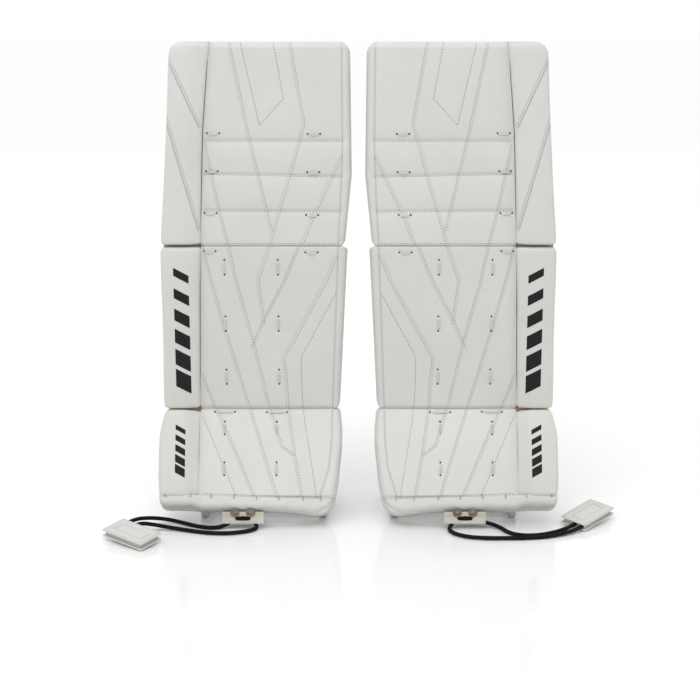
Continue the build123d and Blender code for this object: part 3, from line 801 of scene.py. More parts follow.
def beside(line, offset):
    """A line of straight runs moved sideways, its corners mitred."""
    corners = np.asarray(line, float)
    runs = np.diff(corners, axis=0)
    normals = np.stack([-runs[:, 1], runs[:, 0]], -1) / np.hypot(runs[:, 0], runs[:, 1])[:, None]
    joined = np.concatenate([normals[:1], normals[:-1] + normals[1:], normals[-1:]])
    at_end = np.arange(len(joined)) % (len(joined) - 1) == 0
    joined /= (joined**2).sum(1)[:, None] / np.where(at_end, 1, 2)[:, None]
    return corners + offset * joined


def on_face(section, points, lift):
    """Points just above the face's surface, dropped where they leave the face."""
    x, s = points[:, 0], points[:, 1]
    low = section.low + (toe_dip(x) if section is BOOT else 0)
    keep = (x > section.edge("inner", s) + 3) & (x < section.edge("crease", s) - 2.5)
    keep &= (s > low + 1.5) & (s < section.high - 1.5)
    x, s = x[keep], s[keep]
    depth, _ = face_depth(section, x, s)
    return section.place(x, s, depth - lift)


def make_stitching(section):
    paths = []
    for line, kind, side in SEAMS[section.name]:
        if kind == "edge":
            continue
        offset = {"lap": LAP * side, "channel": 1.6 * side, "row": 0}[kind]
        row = beside(line, offset) if offset else line
        path = on_face(section, walk(row), 0.2)
        if len(path) > 3:
            paths.append(path)
    piece = sew(section.name + "_stitching", paths)
    return both_sides(piece, section.name + "_stitching", section.body, [])


def tube(points, radius, sides=8):
    """Vertices and faces of a round-ended tube along points."""
    points = np.asarray(points, float)
    ahead = np.gradient(points, axis=0)
    ahead /= np.linalg.norm(ahead, axis=1)[:, None]
    aside = np.cross(ahead, (0.31, 0.87, 0.38))
    aside /= np.linalg.norm(aside, axis=1)[:, None]
    third = np.cross(ahead, aside)
    angle = np.linspace(0, 2 * math.pi, sides, endpoint=False)
    ring = np.cos(angle)[None, :, None] * aside[:, None]
    ring = ring + np.sin(angle)[None, :, None] * third[:, None]
    body = points[:, None] + radius * ring
    caps = [points[0] - ahead[0] * radius * 0.6, points[-1] + ahead[-1] * radius * 0.6]
    vertices = np.concatenate([body.reshape(-1, 3), caps])
    n = len(points)
    faces = []
    for i in range(n - 1):
        for k in range(sides):
            j = (k + 1) % sides
            faces.append([i * sides + k, i * sides + j, (i + 1) * sides + j, (i + 1) * sides + k])
    for k in range(sides):
        j = (k + 1) % sides
        faces.append([n * sides, k, j])
        faces.append([n * sides + 1, (n - 1) * sides + j, (n - 1) * sides + k])
    return vertices, faces


def joined_mesh(parts):
    """Several (vertices, faces) pairs as one."""
    vertices, faces, base = [], [], 0
    for part_vertices, part_faces in parts:
        vertices.append(part_vertices)
        faces += [[base + i for i in face] for face in part_faces]
        base += len(part_vertices)
    return np.concatenate(vertices), faces


def lace_loop(section, x, s, length, upright, strands=2):
    """A round lace from one eyelet to the other, bowed above the face and slack between."""
    t = np.linspace(-1, 1, 15)
    along = (0.5 * length - 1.0) * t
    bow = 1.5 - 3.4 * np.abs(t) ** 5
    slack = (1 - t**2) * (1.5 if length < 25 else 0.3)
    parts = []
    for strand in range(strands):
        gap = (strand - 0.5 * (strands - 1)) * 1.3 * (1 - 0.7 * t**4)
        lx, ls = (x + gap + 0.5 * slack, s + along) if upright else (x + along, s + gap - slack)
        base, _ = face_depth(section, lx, ls)
        base = np.minimum(base, base[7] + 0.8)
        parts.append(tube(section.place(lx, ls, base - bow), (0.65 if upright else 0.8) * MM))
    return parts


def make_laces(section):
    loops, rims, hole_shade_discs = [], [], []
    for x, s, length in LEVEL_LACES[section.name]:
        loops += lace_loop(section, x, s, length, False)
    for x, s, length in UPRIGHT_LACES[section.name]:
        loops += lace_loop(section, x, s, length, True)
    # painted shade: each lace hole is a black rim and a black disc on the face, standing in for the
    # shade inside the hole
    for x, s in eyelets(section):
        x, s = np.array([float(x)]), np.array([float(s)])
        depth, _ = face_depth(section, x, s)
        angle = np.linspace(0, 2 * math.pi, 13)
        across, up = np.cos(angle), np.sin(angle)
        rims.append(tube(section.place(x + across, s + up, depth - 0.3), 0.45 * MM, 6))
        hole_shade_disc = section.place(np.append(x, x + 1.1 * across[:-1]), np.append(s, s + 1.1 * up[:-1]),
                            np.append(depth - 0.2, np.full(12, depth[0] - 0.5)))
        hole_shade_discs.append((hole_shade_disc, [[0, 1 + k, 1 + (k + 1) % 12] for k in range(12)]))
    vertices, faces = joined_mesh(loops)
    piece = mesh_object(section.name + "_laces", vertices, faces, PAINT["lace"])
    both_sides(piece, section.name + "_lace_loops", section.body,
               [section.name + "_laces"])
    vertices, faces = joined_mesh(rims + hole_shade_discs)
    holes = mesh_object(section.name + "_eyelets", vertices, faces, PAINT["eyelet"])
    both_sides(holes, section.name + "_eyelets", section.body, [])


def make_welt(section):
    """Leather welt sewn into the crease between face and roll."""
    s = np.linspace(max(section.low + 2.5, ROLL_ENDS[section.name][0] + 1), section.high - 3, 120)
    crease = section.edge("crease", s)
    depth, _ = face_depth(section, crease - CREASE_ROUND, s)
    vertices, faces = tube(section.place(crease - 0.1, s, depth + 1.0), 1.0 * MM)
    welt = mesh_object(section.name + "_welt", vertices, faces, PAINT["rail_leather"])
    both_sides(welt, section.name + "_welt", section.body, [])


# ---------------------------------------------------------------- stuffed pieces
def rounded_block(low, high, radius, cell):
    """A closed box with round edges, in millimetres, as a fine quad grid."""
    low, high = np.asarray(low, float), np.asarray(high, float)
    work = bmesh.new()
    bmesh.ops.create_cube(work, size=2)
    size = high - low
    for axis in range(3):
        edges = [e for e in work.edges if abs((e.verts[0].co - e.verts[1].co)[axis]) > 1e-6]
        cuts = max(1, int(size[axis] / cell))
        bmesh.ops.subdivide_edges(work, edges=edges, cuts=cuts, use_grid_fill=True)
    mesh = bpy.data.meshes.new("block")
    work.to_mesh(mesh)
    work.free()
    co = np.empty(len(mesh.vertices) * 3)
    mesh.vertices.foreach_get("co", co)
    unit = co.reshape(-1, 3)
    points = (low + high) / 2 + unit * size / 2
    core = np.clip(points, low + radius, high - radius)
    out = points - core
    reach = np.linalg.norm(out, axis=1)
    outside = reach > 1e-9
    points[outside] = core[outside] + out[outside] * (radius / reach[outside])[:, None]
    faces = [list(p.vertices) for p in mesh.polygons]
    bpy.data.meshes.remove(mesh)
    return points, faces


def read_points(mesh):
    co = np.empty(len(mesh.vertices) * 3)
    mesh.vertices.foreach_get("co", co)
    return co.reshape(-1, 3)


CLOTH_STEPS = 20


def stuffed(name, points, faces, voxel, pressure, cap, levels, stiff=12.0):
    """A fabric skin blown up a little by the foam inside it, by cloth simulation."""
    mesh = bpy.data.meshes.new(name)
    mesh.from_pydata([tuple(p) for p in points], [], faces)
    host = bpy.data.objects.new(name, mesh)
    scene.collection.objects.link(host)
    remesh = host.modifiers.new("remesh", "REMESH")
    remesh.mode = "VOXEL"
    remesh.voxel_size = voxel * MM
    shown = host.evaluated_get(bpy.context.evaluated_depsgraph_get())
    skin = bpy.data.meshes.new_from_object(shown)
    bpy.data.objects.remove(host)
    start = read_points(skin)
    moved = start.copy()
    host = bpy.data.objects.new(name, skin)
    scene.collection.objects.link(host)
    cloth = host.modifiers.new("cloth", "CLOTH")
    setting = cloth.settings
    setting.quality = 4
    setting.mass = 0.3
    setting.tension_stiffness = stiff
    setting.compression_stiffness = stiff
    setting.shear_stiffness = 0.5 * stiff
    setting.bending_stiffness = 0.8
    setting.use_pressure = True
    setting.uniform_pressure_force = pressure
    setting.effector_weights.gravity = 0
    cloth.point_cache.frame_start = 1
    cloth.point_cache.frame_end = CLOTH_STEPS
    for step in range(1, CLOTH_STEPS + 1):
        scene.frame_set(step)
    shown = host.evaluated_get(bpy.context.evaluated_depsgraph_get())
    moved = read_points(shown.to_mesh())
    scene.frame_set(1)
    host.modifiers.remove(cloth)
    bpy.data.objects.remove(host)
    shift = moved - start
    reach = np.linalg.norm(shift, axis=1)
    limit = cap * MM
    shift *= (limit * np.tanh(reach / limit) / np.maximum(reach, 1e-12))[:, None]
    skin.vertices.foreach_set("co", (start + shift).ravel())
    host = bpy.data.objects.new(name, skin)
    scene.collection.objects.link(host)
    smooth = host.modifiers.new("smooth", "SMOOTH")
    smooth.iterations = 2
    finer = host.modifiers.new("finer", "SUBSURF")
    finer.levels = finer.render_levels = levels
    return baked(host, name)


ROLL_START = {"thigh": 0.2, "shin": 0.2, "boot": -1.0}  # crease to roll
ROLL_EDGE = {"thigh": 3.2, "shin": 4.5, "boot": -1.2}  # how proud a roll is beside its crease
ROLL_CORNER = {"thigh": (4, 15), "shin": (4, 6), "boot": (1, 5)}  # outer corners, low and high


def roll_points(section, low, high, radius, cell, shrink):
    """A roll's starting shape, between the crease and the outer edge, lowest by the crease."""
    length = high - low
    points, faces = rounded_block((-30, 0, 0), (30, length, ROLL_SEAT + ROLL_PROUD), radius, cell)
    s = low + points[:, 1]
    low_corner, high_corner = ROLL_CORNER[section.name]
    tuck = fall(s - low, low_corner) + fall(high - s, high_corner)
    inner = section.edge("crease", s) + ROLL_START[section.name]
    outer = section.edge("outer", s) - 0.2 - shrink - tuck
    across = (points[:, 0] + 30) / 60
    x = inner + across * (outer - inner)
    edge = ROLL_EDGE[section.name]
    rise = np.clip((x - inner) / 26, 0, 1)
    proud = edge + (ROLL_PROUD - 0.4 - edge) * rise * rise * (3 - 2 * rise)
    thick = ROLL_SEAT - 0.2 + proud - shrink
    depth = ROLL_SEAT - 0.2 - points[:, 2] / (ROLL_SEAT + ROLL_PROUD) * thick
    # ends at a break slope apart behind the face, to clear each other when the pad bends
    slope = math.tan(math.radians(7)) * np.clip(depth, 0, None)
    if section is not BOOT:
        s = s + slope * np.clip(1 - (s - low) / 25, 0, 1)
    if section is not THIGH:
        s = s - slope * np.clip(1 - (high - s) / 25, 0, 1)
    return section.place(x, s, depth), faces


ROLL_ENDS = {
    "thigh": (0.7, 291.3),
    "shin": (ANKLE[2] / MM + 0.7, KNEE[2] / MM - 0.8),
    "boot": (-131.5, -0.8),
}
ROLL_SEAMS = {
    "thigh": [[(274, 279.5), (225.4, 172)], [(281, 212), (229.3, 24.5)]],
    "shin": [],
    "boot": [],
}


def to_section(section, points):
    """Across, up and depth, in millimetres, of points in the frame."""
    y, z = points[:, 1] / MM - FACE_Y, points[:, 2] / MM - section.height
    s = y * math.sin(section.lean) + z * math.cos(section.lean)
    depth = y * math.cos(section.lean) - z * math.sin(section.lean)
    return points[:, 0] / MM, s, depth


def press_seams(piece, section, lines, depth, half):
    """Sinks seam lines into the front of a stuffed piece and marks them."""
    points = read_points(piece.data)
    x, s, behind = to_section(section, points)
    flat = np.stack([x, s], -1)
    sink = np.zeros(len(flat))
    mark = np.zeros(len(flat))
    for line in lines:
        for row in (line, beside(line, 3.4)):
            distance, _ = to_line(flat, row)
            sink = np.maximum(sink, depth * np.exp(-((distance / half) ** 2)))
            mark = np.maximum(mark, np.exp(-((distance / 0.9) ** 2)))
    front = np.clip((6 - behind) / 8, 0, 1)
    piece.data.vertices.foreach_set("co", section.place(x, s, behind + sink * front).ravel())
    layer = piece.data.attributes.new("seam", "FLOAT", "POINT")
    layer.data.foreach_set("value", (0.8 * mark * front).astype(np.float32))


def surface_of(piece):
    """A tree that finds the piece's surface."""
    mesh = piece.data
    return BVHTree.FromPolygons([v.co for v in mesh.vertices], [p.vertices for p in mesh.polygons])


def draped_depth(section, tree, x, s):
    """Depth of a piece's front surface at places across and up."""
    forward = Vector(section.place(0, 0, -1) - section.place(0, 0, 0)).normalized()
    depths = []
    for one_x, one_s in zip(np.ravel(x), np.ravel(s)):
        start = Vector(section.place(one_x, one_s, -60))
        hit, _, _, distance = tree.ray_cast(start, -forward)
        depths.append(-60 + distance / MM if hit else 0.0)
    return np.reshape(depths, np.shape(x))


BARS = {  # low, high, inner and outer edge of the printed panel, number of bars
    "shin": (194.0, 394.0, 247.5, 269.5, 6),
    "boot": (-104.0, -24.0, 256.5, 271.0, 5),
}
BAR_SLANT = 0.55


def print_bars(section, tree):
    """Slanted bars printed on a roll, as a thin film on its surface."""
    low, high, inner, outer, count = BARS[section.name]
    pitch = (high - low) / count
    parts = []
    for bar in range(count):
        width = pitch * (0.80 - 0.09 * bar)
        t, a = np.meshgrid(np.linspace(0, 1, 13), np.linspace(0, 1, 9), indexing="ij")
        x = inner + t * (outer - inner)
        s = low + bar * pitch + a * width + BAR_SLANT * (x - inner)
        depth = draped_depth(section, tree, x, s)
        top, under = section.place(x, s, depth - 0.35), section.place(x, s, depth + 0.3)
        parts.append(closed_sheet(top, under, *x.shape))
    vertices, faces = joined_mesh(parts)
    name = section.name + "_roll_print"
    piece = mesh_object(name, vertices, faces, PAINT["black_print"])
    both_sides(piece, name, section.body, [])


def make_roll(section):
    low, high = ROLL_ENDS[section.name]
    points, faces = roll_points(section, low + 0.3, high - 0.3, 3.0, 3.4, 0.8)
    levels = 2 if section is THIGH else 1
    roll = stuffed(section.name + "_roll", points, faces, 3.2, 3.0, 1.3, levels)
    roll.data.materials.clear()
    roll.data.materials.append(PAINT["roll_leather"])
    press_seams(roll, section, ROLL_SEAMS[section.name], 0.7, 1.0)
    tree = surface_of(roll)
    paths = []
    for line in ROLL_SEAMS[section.name]:
        row = walk(beside(line, LAP), 2.5)
        x, s = row[:, 0], row[:, 1]
        keep = (x > section.edge("crease", s) + 3) & (x < section.edge("outer", s) - 3)
        x, s = x[keep], s[keep]
        paths.append(section.place(x, s, draped_depth(section, tree, x, s) - 0.1))
    if paths:
        piece = sew(section.name + "_roll_stitching", paths)
        both_sides(piece, section.name + "_roll_stitching", section.body, [])
    if section.name in BARS:
        print_bars(section, tree)
    both_sides(roll, section.name + "_roll", section.body, [section.name + "_outer_roll"])


def make_toe_band():
    """The puffy band that wraps the boot's lower edge, roll and all, drawn in by its lacing."""
    x = 41.5 + 252.5 * spaced(252.5, 1.5, 14.0, 6.0)
    top = np.interp(x, [42, 293], [-134.3, -126.6])
    step = np.clip((x - 229) / 18, 0, 1)
    step = step * step * (3 - 2 * step)
    front = -0.6 - 4.4 * step
    pull = sum(np.exp(-(((x - tick) / 3.2) ** 2)) for tick in TOE_TICKS)
    sway = 0.8 * np.sin(x / 9.5) + 0.6 * np.sin(x / 4.3 + 1)
    low = BOOT.low + toe_dip(x) + 1.2 + 2.4 * step + 0.5 * sway
    low = low + 0.75 * fall(x - x[0], 30) + 0.9 * fall(x[-1] - x, 9)
    end = fall(x - x[0], 8) + fall(x[-1] - x, 3.5)
    rows = []  # (up, depth) of each line along the band
    turned = 1 - 0.4 * np.cos(np.linspace(0.1, math.pi / 2, 14))
    for t in np.concatenate([np.linspace(0, 0.6, 16), turned]):
        up = top + t * (low - top)
        drawn = pull * 1.5 * math.exp(-(((t - 0.12) / 0.16) ** 2))
        puff = 2.0 * (1 - math.exp(-t / 0.06)) + 0.4 * math.sin(3 * t) * (1 + 0.5 * sway)
        rows.append((up, front + 1.6 - puff + drawn + end + fall(up - low, 9)))
    rows.append((low - 0.7, front + 17 + end))
    rows.append((low - 0.2, np.full_like(x, 40)))
    rows.append((low + 8, np.full_like(x, 40)))
    rows.append((low + 12, front + 12))
    rows.append((top - 1, front + 6))
    up, depth = (np.stack(part) for part in zip(*rows))
    follow = np.clip((up - BOOT.low) / 17, 0, 1) * (1 - (x - x[0]) / 252.5) ** 3
    across = x - 4.6 * follow
    mark = np.zeros_like(up)
    mark[0] = 0.8
    count, along = up.shape
    faces = grid_faces(count, along)
    last = (count - 1) * along
    faces += [[last + c, last + c + 1, c + 1, c] for c in range(along - 1)]
    faces += [[r * along for r in range(count)], [r * along + along - 1 for r in range(count)]]
    places = BOOT.place(across, up, depth).reshape(-1, 3)
    band = mesh_object("toe_band", places, faces, PAINT["face_leather"], mark.ravel())
    both_sides(band, "toe_band", "boot", [])
    ticks = []
    for tick in TOE_TICKS:
        here = np.argmin(np.abs(x - tick))
        t = np.linspace(0, 1, 9)
        lift = (1.8 + 2.6 * step[here]) * np.sin(math.pi * t) - 0.5
        path = BOOT.place(np.full(9, tick), top[here] + 1.2 - 6 * t, front[here] - lift)
        ticks.append(tube(path, 0.5 * MM))
    vertices, faces = joined_mesh(ticks)
    lacing = mesh_object("toe_lacing", vertices, faces, PAINT["toe_lace"])
    both_sides(lacing, "toe_lacing", "boot", [])
    level = x < 228
    seam = BOOT.place(x[level][5:], top[level][5:] + 2.0, np.full(level.sum() - 5, 0.15))
    both_sides(sew("toe_band_stitching", [seam]), "toe_band_stitching", "boot", [])


# ---------------------------------------------------------------- backs of the pads
def make_lining(section, channels):
    """Padded nylon back of a section, sewn down in channels and turned in round its edge."""
    back_high = section.high + section.top_slope * PAD_DEPTH
    length = back_high - section.low - 5.6
    s = section.low + 2.8 + length * spaced(length, 2.0, 3, 3)[:, None]
    inner = section.edge("inner", s) + corner_tuck(section, s, "inner") + 2.8
    outer = section.edge("outer", s) - corner_tuck(section, s, "outer") - 2.8
    x = inner + spaced(250, 2.0, 3, 3) * (outer - inner)
    s = np.broadcast_to(s, x.shape)
    points = np.stack([x.ravel(), s.ravel()], -1)
    sunk = np.zeros(x.size)
    mark = np.zeros(x.size)
    rim = np.minimum(np.minimum(x - inner, outer - x), np.minimum(s - s.min(), s.max() - s)).ravel()
    for line in channels:
        distance, _ = to_line(points, line)
        sunk = np.maximum(sunk, 1.9 * np.exp(-distance / 5.5))
        mark = np.maximum(mark, 0.6 * np.exp(-((distance / 1.6) ** 2)))
    puff = 2.4 * (1 - np.exp(-rim / 9)) - sunk
    puff += 0.35 * np.sin(points[:, 0] / 13 + points[:, 1] / 29) * np.sin(points[:, 1] / 17)
    depth = (PAD_DEPTH - 0.9 + puff - fall(rim, 1.6)).reshape(x.shape)
    back, inside = section.place(x, s, depth), section.place(x, s, PAD_DEPTH - 3.2)
    vertices, faces = closed_sheet(back, inside, *x.shape)
    marks = np.concatenate([mark, np.zeros(x.size)])
    name = section.name + "_lining"
    piece = mesh_object(name, vertices, faces, PAINT["lining_nylon"], marks)
    both_sides(piece, section.name + "_back_panel", section.body, [name])
    paths = []
    tree = surface_of(piece)
    for line in channels:
        row = walk(line, 2.0)
        paths.append(on_back(section, tree, row[:, 0], row[:, 1]))
    both_sides(sew(name + "_stitching", paths), name + "_stitching", section.body, [])


def on_back(section, tree, x, s):
    """Points on the back surface of a piece."""
    back = Vector(section.place(0, 0, 1) - section.place(0, 0, 0)).normalized()
    path = []
    for one_x, one_s in zip(x, s):
        start = Vector(section.place(one_x, one_s, 90))
        hit, _, _, _ = tree.ray_cast(start, -back)
        if hit:
            path.append(tuple(hit))
    return np.array(path)


def press_rows(piece, axis, places, depth, half):
    """Sinks sewn channels round a stuffed piece, at places along an axis."""
    points = read_points(piece.data) / MM
    sink = np.zeros(len(points))
    for place in places:
        sink = np.maximum(sink, np.exp(-np.abs(points[:, axis] - place) / half))
    normals = np.empty(len(points) * 3)
    piece.data.vertices.foreach_get("normal", normals)
    normals = normals.reshape(-1, 3)
    normals[:, axis] = 0
    moved = points - depth * sink[:, None] * normals
    piece.data.vertices.foreach_set("co", (moved * MM).ravel())
    layer = piece.data.attributes.new("seam", "FLOAT", "POINT")
    layer.data.foreach_set("value", (0.7 * sink**4).astype(np.float32))


def make_knee_stack():
    """Three foam layers in one leather jacket, where the knee rests."""
    low = np.array([22.0, FACE_Y + 52.4, 318.0])
    high = np.array([88.0, FACE_Y + 98.2, 402.0])
    points, faces = rounded_block(low + (1.2, 0, 1.2), high - (1.2, 1.2, 1.2), 9.0, 5.0)
    stack = stuffed("knee_stack", points * MM, faces, 3.6, 4.0, 2.0, 1)
    stack.data.materials.clear()
    stack.data.materials.append(PAINT["rail_leather"])
    press_rows(stack, 1, (FACE_Y + 68, FACE_Y + 83), 1.6, 2.0)
    both_sides(stack, "knee_stack_jacket", "shin", ["knee_stack"])
    loop = round_loop(low[0] + 1.6, high[0] - 1.6, low[2] + 1.6, high[2] - 1.6, 9, FACE_Y + 91.5)
    add_piping("knee_stack_piping", [loop], "shin")


def round_loop(low_x, high_x, low_z, high_z, radius, y):
    """A closed round-cornered loop at one depth, in metres."""
    out = []
    left, right = low_x + radius, high_x - radius
    below, above = low_z + radius, high_z - radius
    centres = ((right, above, 0), (left, above, 90), (left, below, 180), (right, below, 270))
    for x, z, start in centres:
        for angle in np.radians(np.linspace(start, start + 90, 8)):
            out.append((x + radius * math.cos(angle), y, z + radius * math.sin(angle)))
    out.append(out[0])
    corners = np.array(out)
    lengths = np.append(0, np.cumsum(np.linalg.norm(np.diff(corners, axis=0), axis=1)))
    even = np.linspace(0, lengths[-1], int(lengths[-1] / 3))
    return np.stack([np.interp(even, lengths, corners[:, k]) for k in range(3)], -1) * MM


def add_piping(name, paths, body, radius=1.3, paint="rail_leather"):
    vertices, faces = joined_mesh([tube(path, radius * MM, 8) for path in paths])
    piece = mesh_object(name, vertices, faces, PAINT[paint])
    both_sides(piece, name, body, [])


def side_panel(name, low_x, high_x, front, back, low_z, high_z, drop, corner, body, node, channels):
    """A padded panel that stands back from the shin: its rear corners round, bound with piping."""
    middle, half = 0.5 * (low_z + high_z), 0.5 * (high_z - low_z)

    def reach_at(y):
        return half - 0.9 - drop * (y - front) / (back - front) - fall(back - y, corner)

    start = (low_x + 1.0, front + 0.8, middle - half)
    end = (high_x - 1.0, back - 1.2, middle + half)
    points, faces = rounded_block(start, end, 3.2, 5.0)
    points[:, 2] = middle + (points[:, 2] - middle) * reach_at(points[:, 1]) / half
    panel = stuffed(name, points * MM, faces, 3.6, 3.0, 1.5, 1)
    panel.data.materials.clear()
    panel.data.materials.append(PAINT["wing_nylon"])
    press_rows(panel, 1, channels, 1.5, 2.4)
    both_sides(panel, name + "_panel", body, [node])
    arc = back - corner + (corner - 0.6) * np.sin(np.linspace(0, math.pi / 2, 14))
    along = np.concatenate([[front + 1.5], np.linspace(front + 6, back - corner, 12), arc])
    lower = np.column_stack([along, middle - reach_at(along) - 0.2])
    upper = np.array([(y, 2 * middle - z) for y, z in lower])[::-1]
    edge = np.concatenate([lower, upper])
    middle_x = 0.5 * (low_x + high_x)
    path = np.column_stack([np.full(len(edge), middle_x), edge]) * MM
    vertices, faces = tube(path, 1.7 * MM, 10)
    binding = mesh_object(name + "_binding", vertices, faces, PAINT["rail_leather"])
    both_sides(binding, name + "_binding", body, [])
    rows = []
    tree = surface_of(panel)
    for direction in (-1, 1):
        for y in channels:
            row = []
            reach = float(reach_at(y))
            for z in np.arange(middle - reach + 4, middle + reach - 4, 2.2):
                start = Vector((middle_x + direction * 40, y, z)) * MM
                hit, _, _, _ = tree.ray_cast(start, Vector((-direction, 0, 0)))
                if hit:
                    row.append(tuple(hit))
            if len(row) > 3:
                rows.append(np.array(row))
    thread = sew(name + "_stitching", rows)
    both_sides(thread, name + "_stitching", body, [])


class Flat:
    """A plane that a strap, patch or leaf lies in: along it, across it and out of it."""

    def __init__(self, middle, along, out):
        self.middle = np.asarray(middle, float)
        self.along = np.asarray(along, float) / np.linalg.norm(along)
        out = np.asarray(out, float)
        out = out - self.along * (out @ self.along)
        self.out = out / np.linalg.norm(out)
        self.across = np.cross(self.out, self.along)

    def place(self, a, b, c):
        a, b, c = (part[..., None] for part in np.broadcast_arrays(a, b, c))
        return (self.middle + a * self.along + b * self.across + c * self.out) * MM


def section_spot(section, x, s, depth):
    return section.place(x, s, depth) / MM


def box_row(half_a, half_b, step=2, crossed=False):
    """A row of stitching round a box and, if crossed, from corner to corner inside it."""
    corners = [(-1, -1), (1, -1), (1, 1), (-1, 1), (-1, -1)]
    if crossed:
        corners += [(1, 1), (1, -1), (-1, 1)]
    return walk(np.array(corners) * (half_a, half_b), step).T


def make_strap(name, flat, half_length, half_width, body, node):
    """Webbing with a folded, box-stitched end and a patch of loop pile at the other."""
    strap = slab(flat, half_length, half_width, -1.2, 1.2, 4, 1.6, PAINT["webbing"], name,
                 edge=0.8, wave=0.45)
    both_sides(strap, name + "_webbing", body, [node])
    end = Flat(flat.middle + (half_length - 42) * flat.along, flat.along, flat.out)
    patch = slab(end, 36, half_width - 3.5, 1.3, 2.5, 3, 1.6, PAINT["loop_pile"],
                 name + "_loop_patch", edge=0.5, wave=0.45)
    both_sides(patch, name + "_loop_patch", body, [])
    fold = Flat(flat.middle - (half_length - 16) * flat.along, flat.along, flat.out)
    folded = slab(fold, 15, half_width - 0.4, 1.3, 3.2, 3, 1.4, PAINT["webbing"], name + "_fold",
                  edge=0.9)
    both_sides(folded, name + "_fold", body, [])
    a, b = box_row(11, half_width - 5, crossed=True)
    paths = [fold.place(a, b, 3.25)]
    a, b = box_row(33.5, half_width - 5.5)
    paths.append(end.place(a, b, 2.55))
    thread = sew(name + "_stitching", paths, 3.6, 2.3, 0.8)
    both_sides(thread, name + "_stitching", body, [])


def make_anchors():
    """Padded leather blocks on the thigh's back that the strap is sewn to."""
    rows = []
    for number, x in enumerate((48.0, 232.0)):
        middle = section_spot(THIGH, x, 120.0, 52.3)
        upward = (0, math.sin(THIGH.lean), math.cos(THIGH.lean))
        flat = Flat(middle, upward, THIGH.place(0, 0, 1) - THIGH.place(0, 0, 0))
        block = slab(flat, 23, 13, 0.1, 14.0, 5, 1.0, PAINT["rail_leather"], "anchor",
                     edge=4.0, swell=0.4)
        name = "thigh_strap_anchor_" + ("inner", "outer")[number]
        nodes = ["thigh_strap_anchors"] if number == 0 else []
        both_sides(block, name, "thigh", nodes)
        a, b = box_row(18.5, 9)
        rows.append(flat.place(a, b, 14.35))
    thread = sew("anchor_stitching", rows, 3.6, 2.3, 0.8)
    both_sides(thread, "thigh_anchor_stitching", "thigh", [])


RAIL_PLACES = (54.0, 232.0)


def make_rails():
    """Two leather skids that the boot stands on, with rounded edges and a stitch row round each
    side.
    """
    corners = [(52.4, -150), (52.4, -40)]
    outline = [tuple(section_spot(BOOT, 0, s, depth)[1:]) for depth, s in corners]
    outline += [(FACE_Y + 92, 44), (FACE_Y + 92, 0.4), (FACE_Y - 9, 0.4)]
    for number, x in enumerate(RAIL_PLACES):
        work = bmesh.new()
        one = [work.verts.new((x - 5.9, y, z)) for y, z in outline]
        two = [work.verts.new((x + 5.9, y, z)) for y, z in outline]
        work.faces.new(one)
        work.faces.new(two[::-1])
        for k in range(len(one)):
            work.faces.new([one[k], two[k], two[(k + 1) % len(one)], one[(k + 1) % len(one)]])
        bmesh.ops.recalc_face_normals(work, faces=work.faces)
        bmesh.ops.bevel(work, geom=work.edges[:], offset=2.4, segments=4, profile=0.6,
                        affect="EDGES")
        bmesh.ops.triangulate(work, faces=[f for f in work.faces if len(f.verts) > 4])
        bmesh.ops.scale(work, vec=(MM, MM, MM), verts=work.verts)
        mesh = bpy.data.meshes.new("rail")
        work.to_mesh(mesh)
        work.free()
        mesh.shade_smooth()
        mesh.materials.append(PAINT["rail_leather"])
        rail = bpy.data.objects.new("rail", mesh)
        scene.collection.objects.link(rail)
        weight = rail.modifiers.new("normals", "WEIGHTED_NORMAL")
        weight.keep_sharp = True
        name = "boot_rail_" + ("inner", "outer")[number]
        nodes = ["boot_rails"] if number == 0 else []
        both_sides(baked(rail, name), name, "boot", nodes)
    ring = np.array(outline)
    centre = ring.mean(0)
    inset = centre + (ring - centre) * 0.86
    loop = walk(np.concatenate([inset, inset[:1]]), 2)
    rows = []
    for x in RAIL_PLACES:
        for direction in (-1, 1):
            rows.append(np.column_stack([np.full(len(loop), x + direction * 5.95), loop]) * MM)
    thread = sew("rail_stitching", rows)
    both_sides(thread, "boot_rail_stitching", "boot", [])


BACK_CHANNELS = {
    "thigh": [[(23, 205), (270, 205)], [(20, 62), (278, 62)],
              [(92, 62), (92, 205)], [(205, 62), (205, 205)]],
    "shin": [[(101, 175), (101, 398)], [(205, 175), (205, 398)],
             [(32, 262), (101, 236)], [(205, 236), (283, 262)]],
    "boot": [[(38, -62), (290, -62)], [(100, -142), (118, 4)], [(196, 4), (214, -142)]],
}


def make_backs():
    for section in SECTIONS:
        make_lining(section, BACK_CHANNELS[section.name])
    make_knee_stack()
    side_panel("outer_calf_wing", 236, 248, FACE_Y + 52.4, FACE_Y + 140, 205, 385, 8, 28, "shin",
               "outer_calf_wing", (FACE_Y + 79, FACE_Y + 108))
    side_panel("inner_calf_flap", 61, 71, FACE_Y + 55.2, FACE_Y + 139, 200, 306, 6, 26, "calf_flap",
               "inner_calf_flap", (FACE_Y + 82, FACE_Y + 110))
    back, level = (0, 1, 0), (-1, 0, 0)
    thigh_back = THIGH.place(0, 0, 1) - THIGH.place(0, 0, 0)
    straps = (  # middle, direction along, direction out, half length, half width
        ("calf_strap", (148.5, FACE_Y + 142.2, 256), level, back, 98.5, 19),
        ("knee_strap", (142, FACE_Y + 113.5, 352), (-180, -23.4, 0), back, 90.7, 19),
        ("thigh_strap", section_spot(THIGH, 148, 120, 68.05), level, thigh_back, 102, 19),
        ("boot_strap", (143, FACE_Y + 94.2, 22), level, back, 97, 15),
    )
    for name, middle, along, out, half_length, half_width in straps:
        flat = Flat(middle, along, out)
        make_strap(name, flat, half_length, half_width, name + "_band", name)
    make_anchors()
    make_rails()


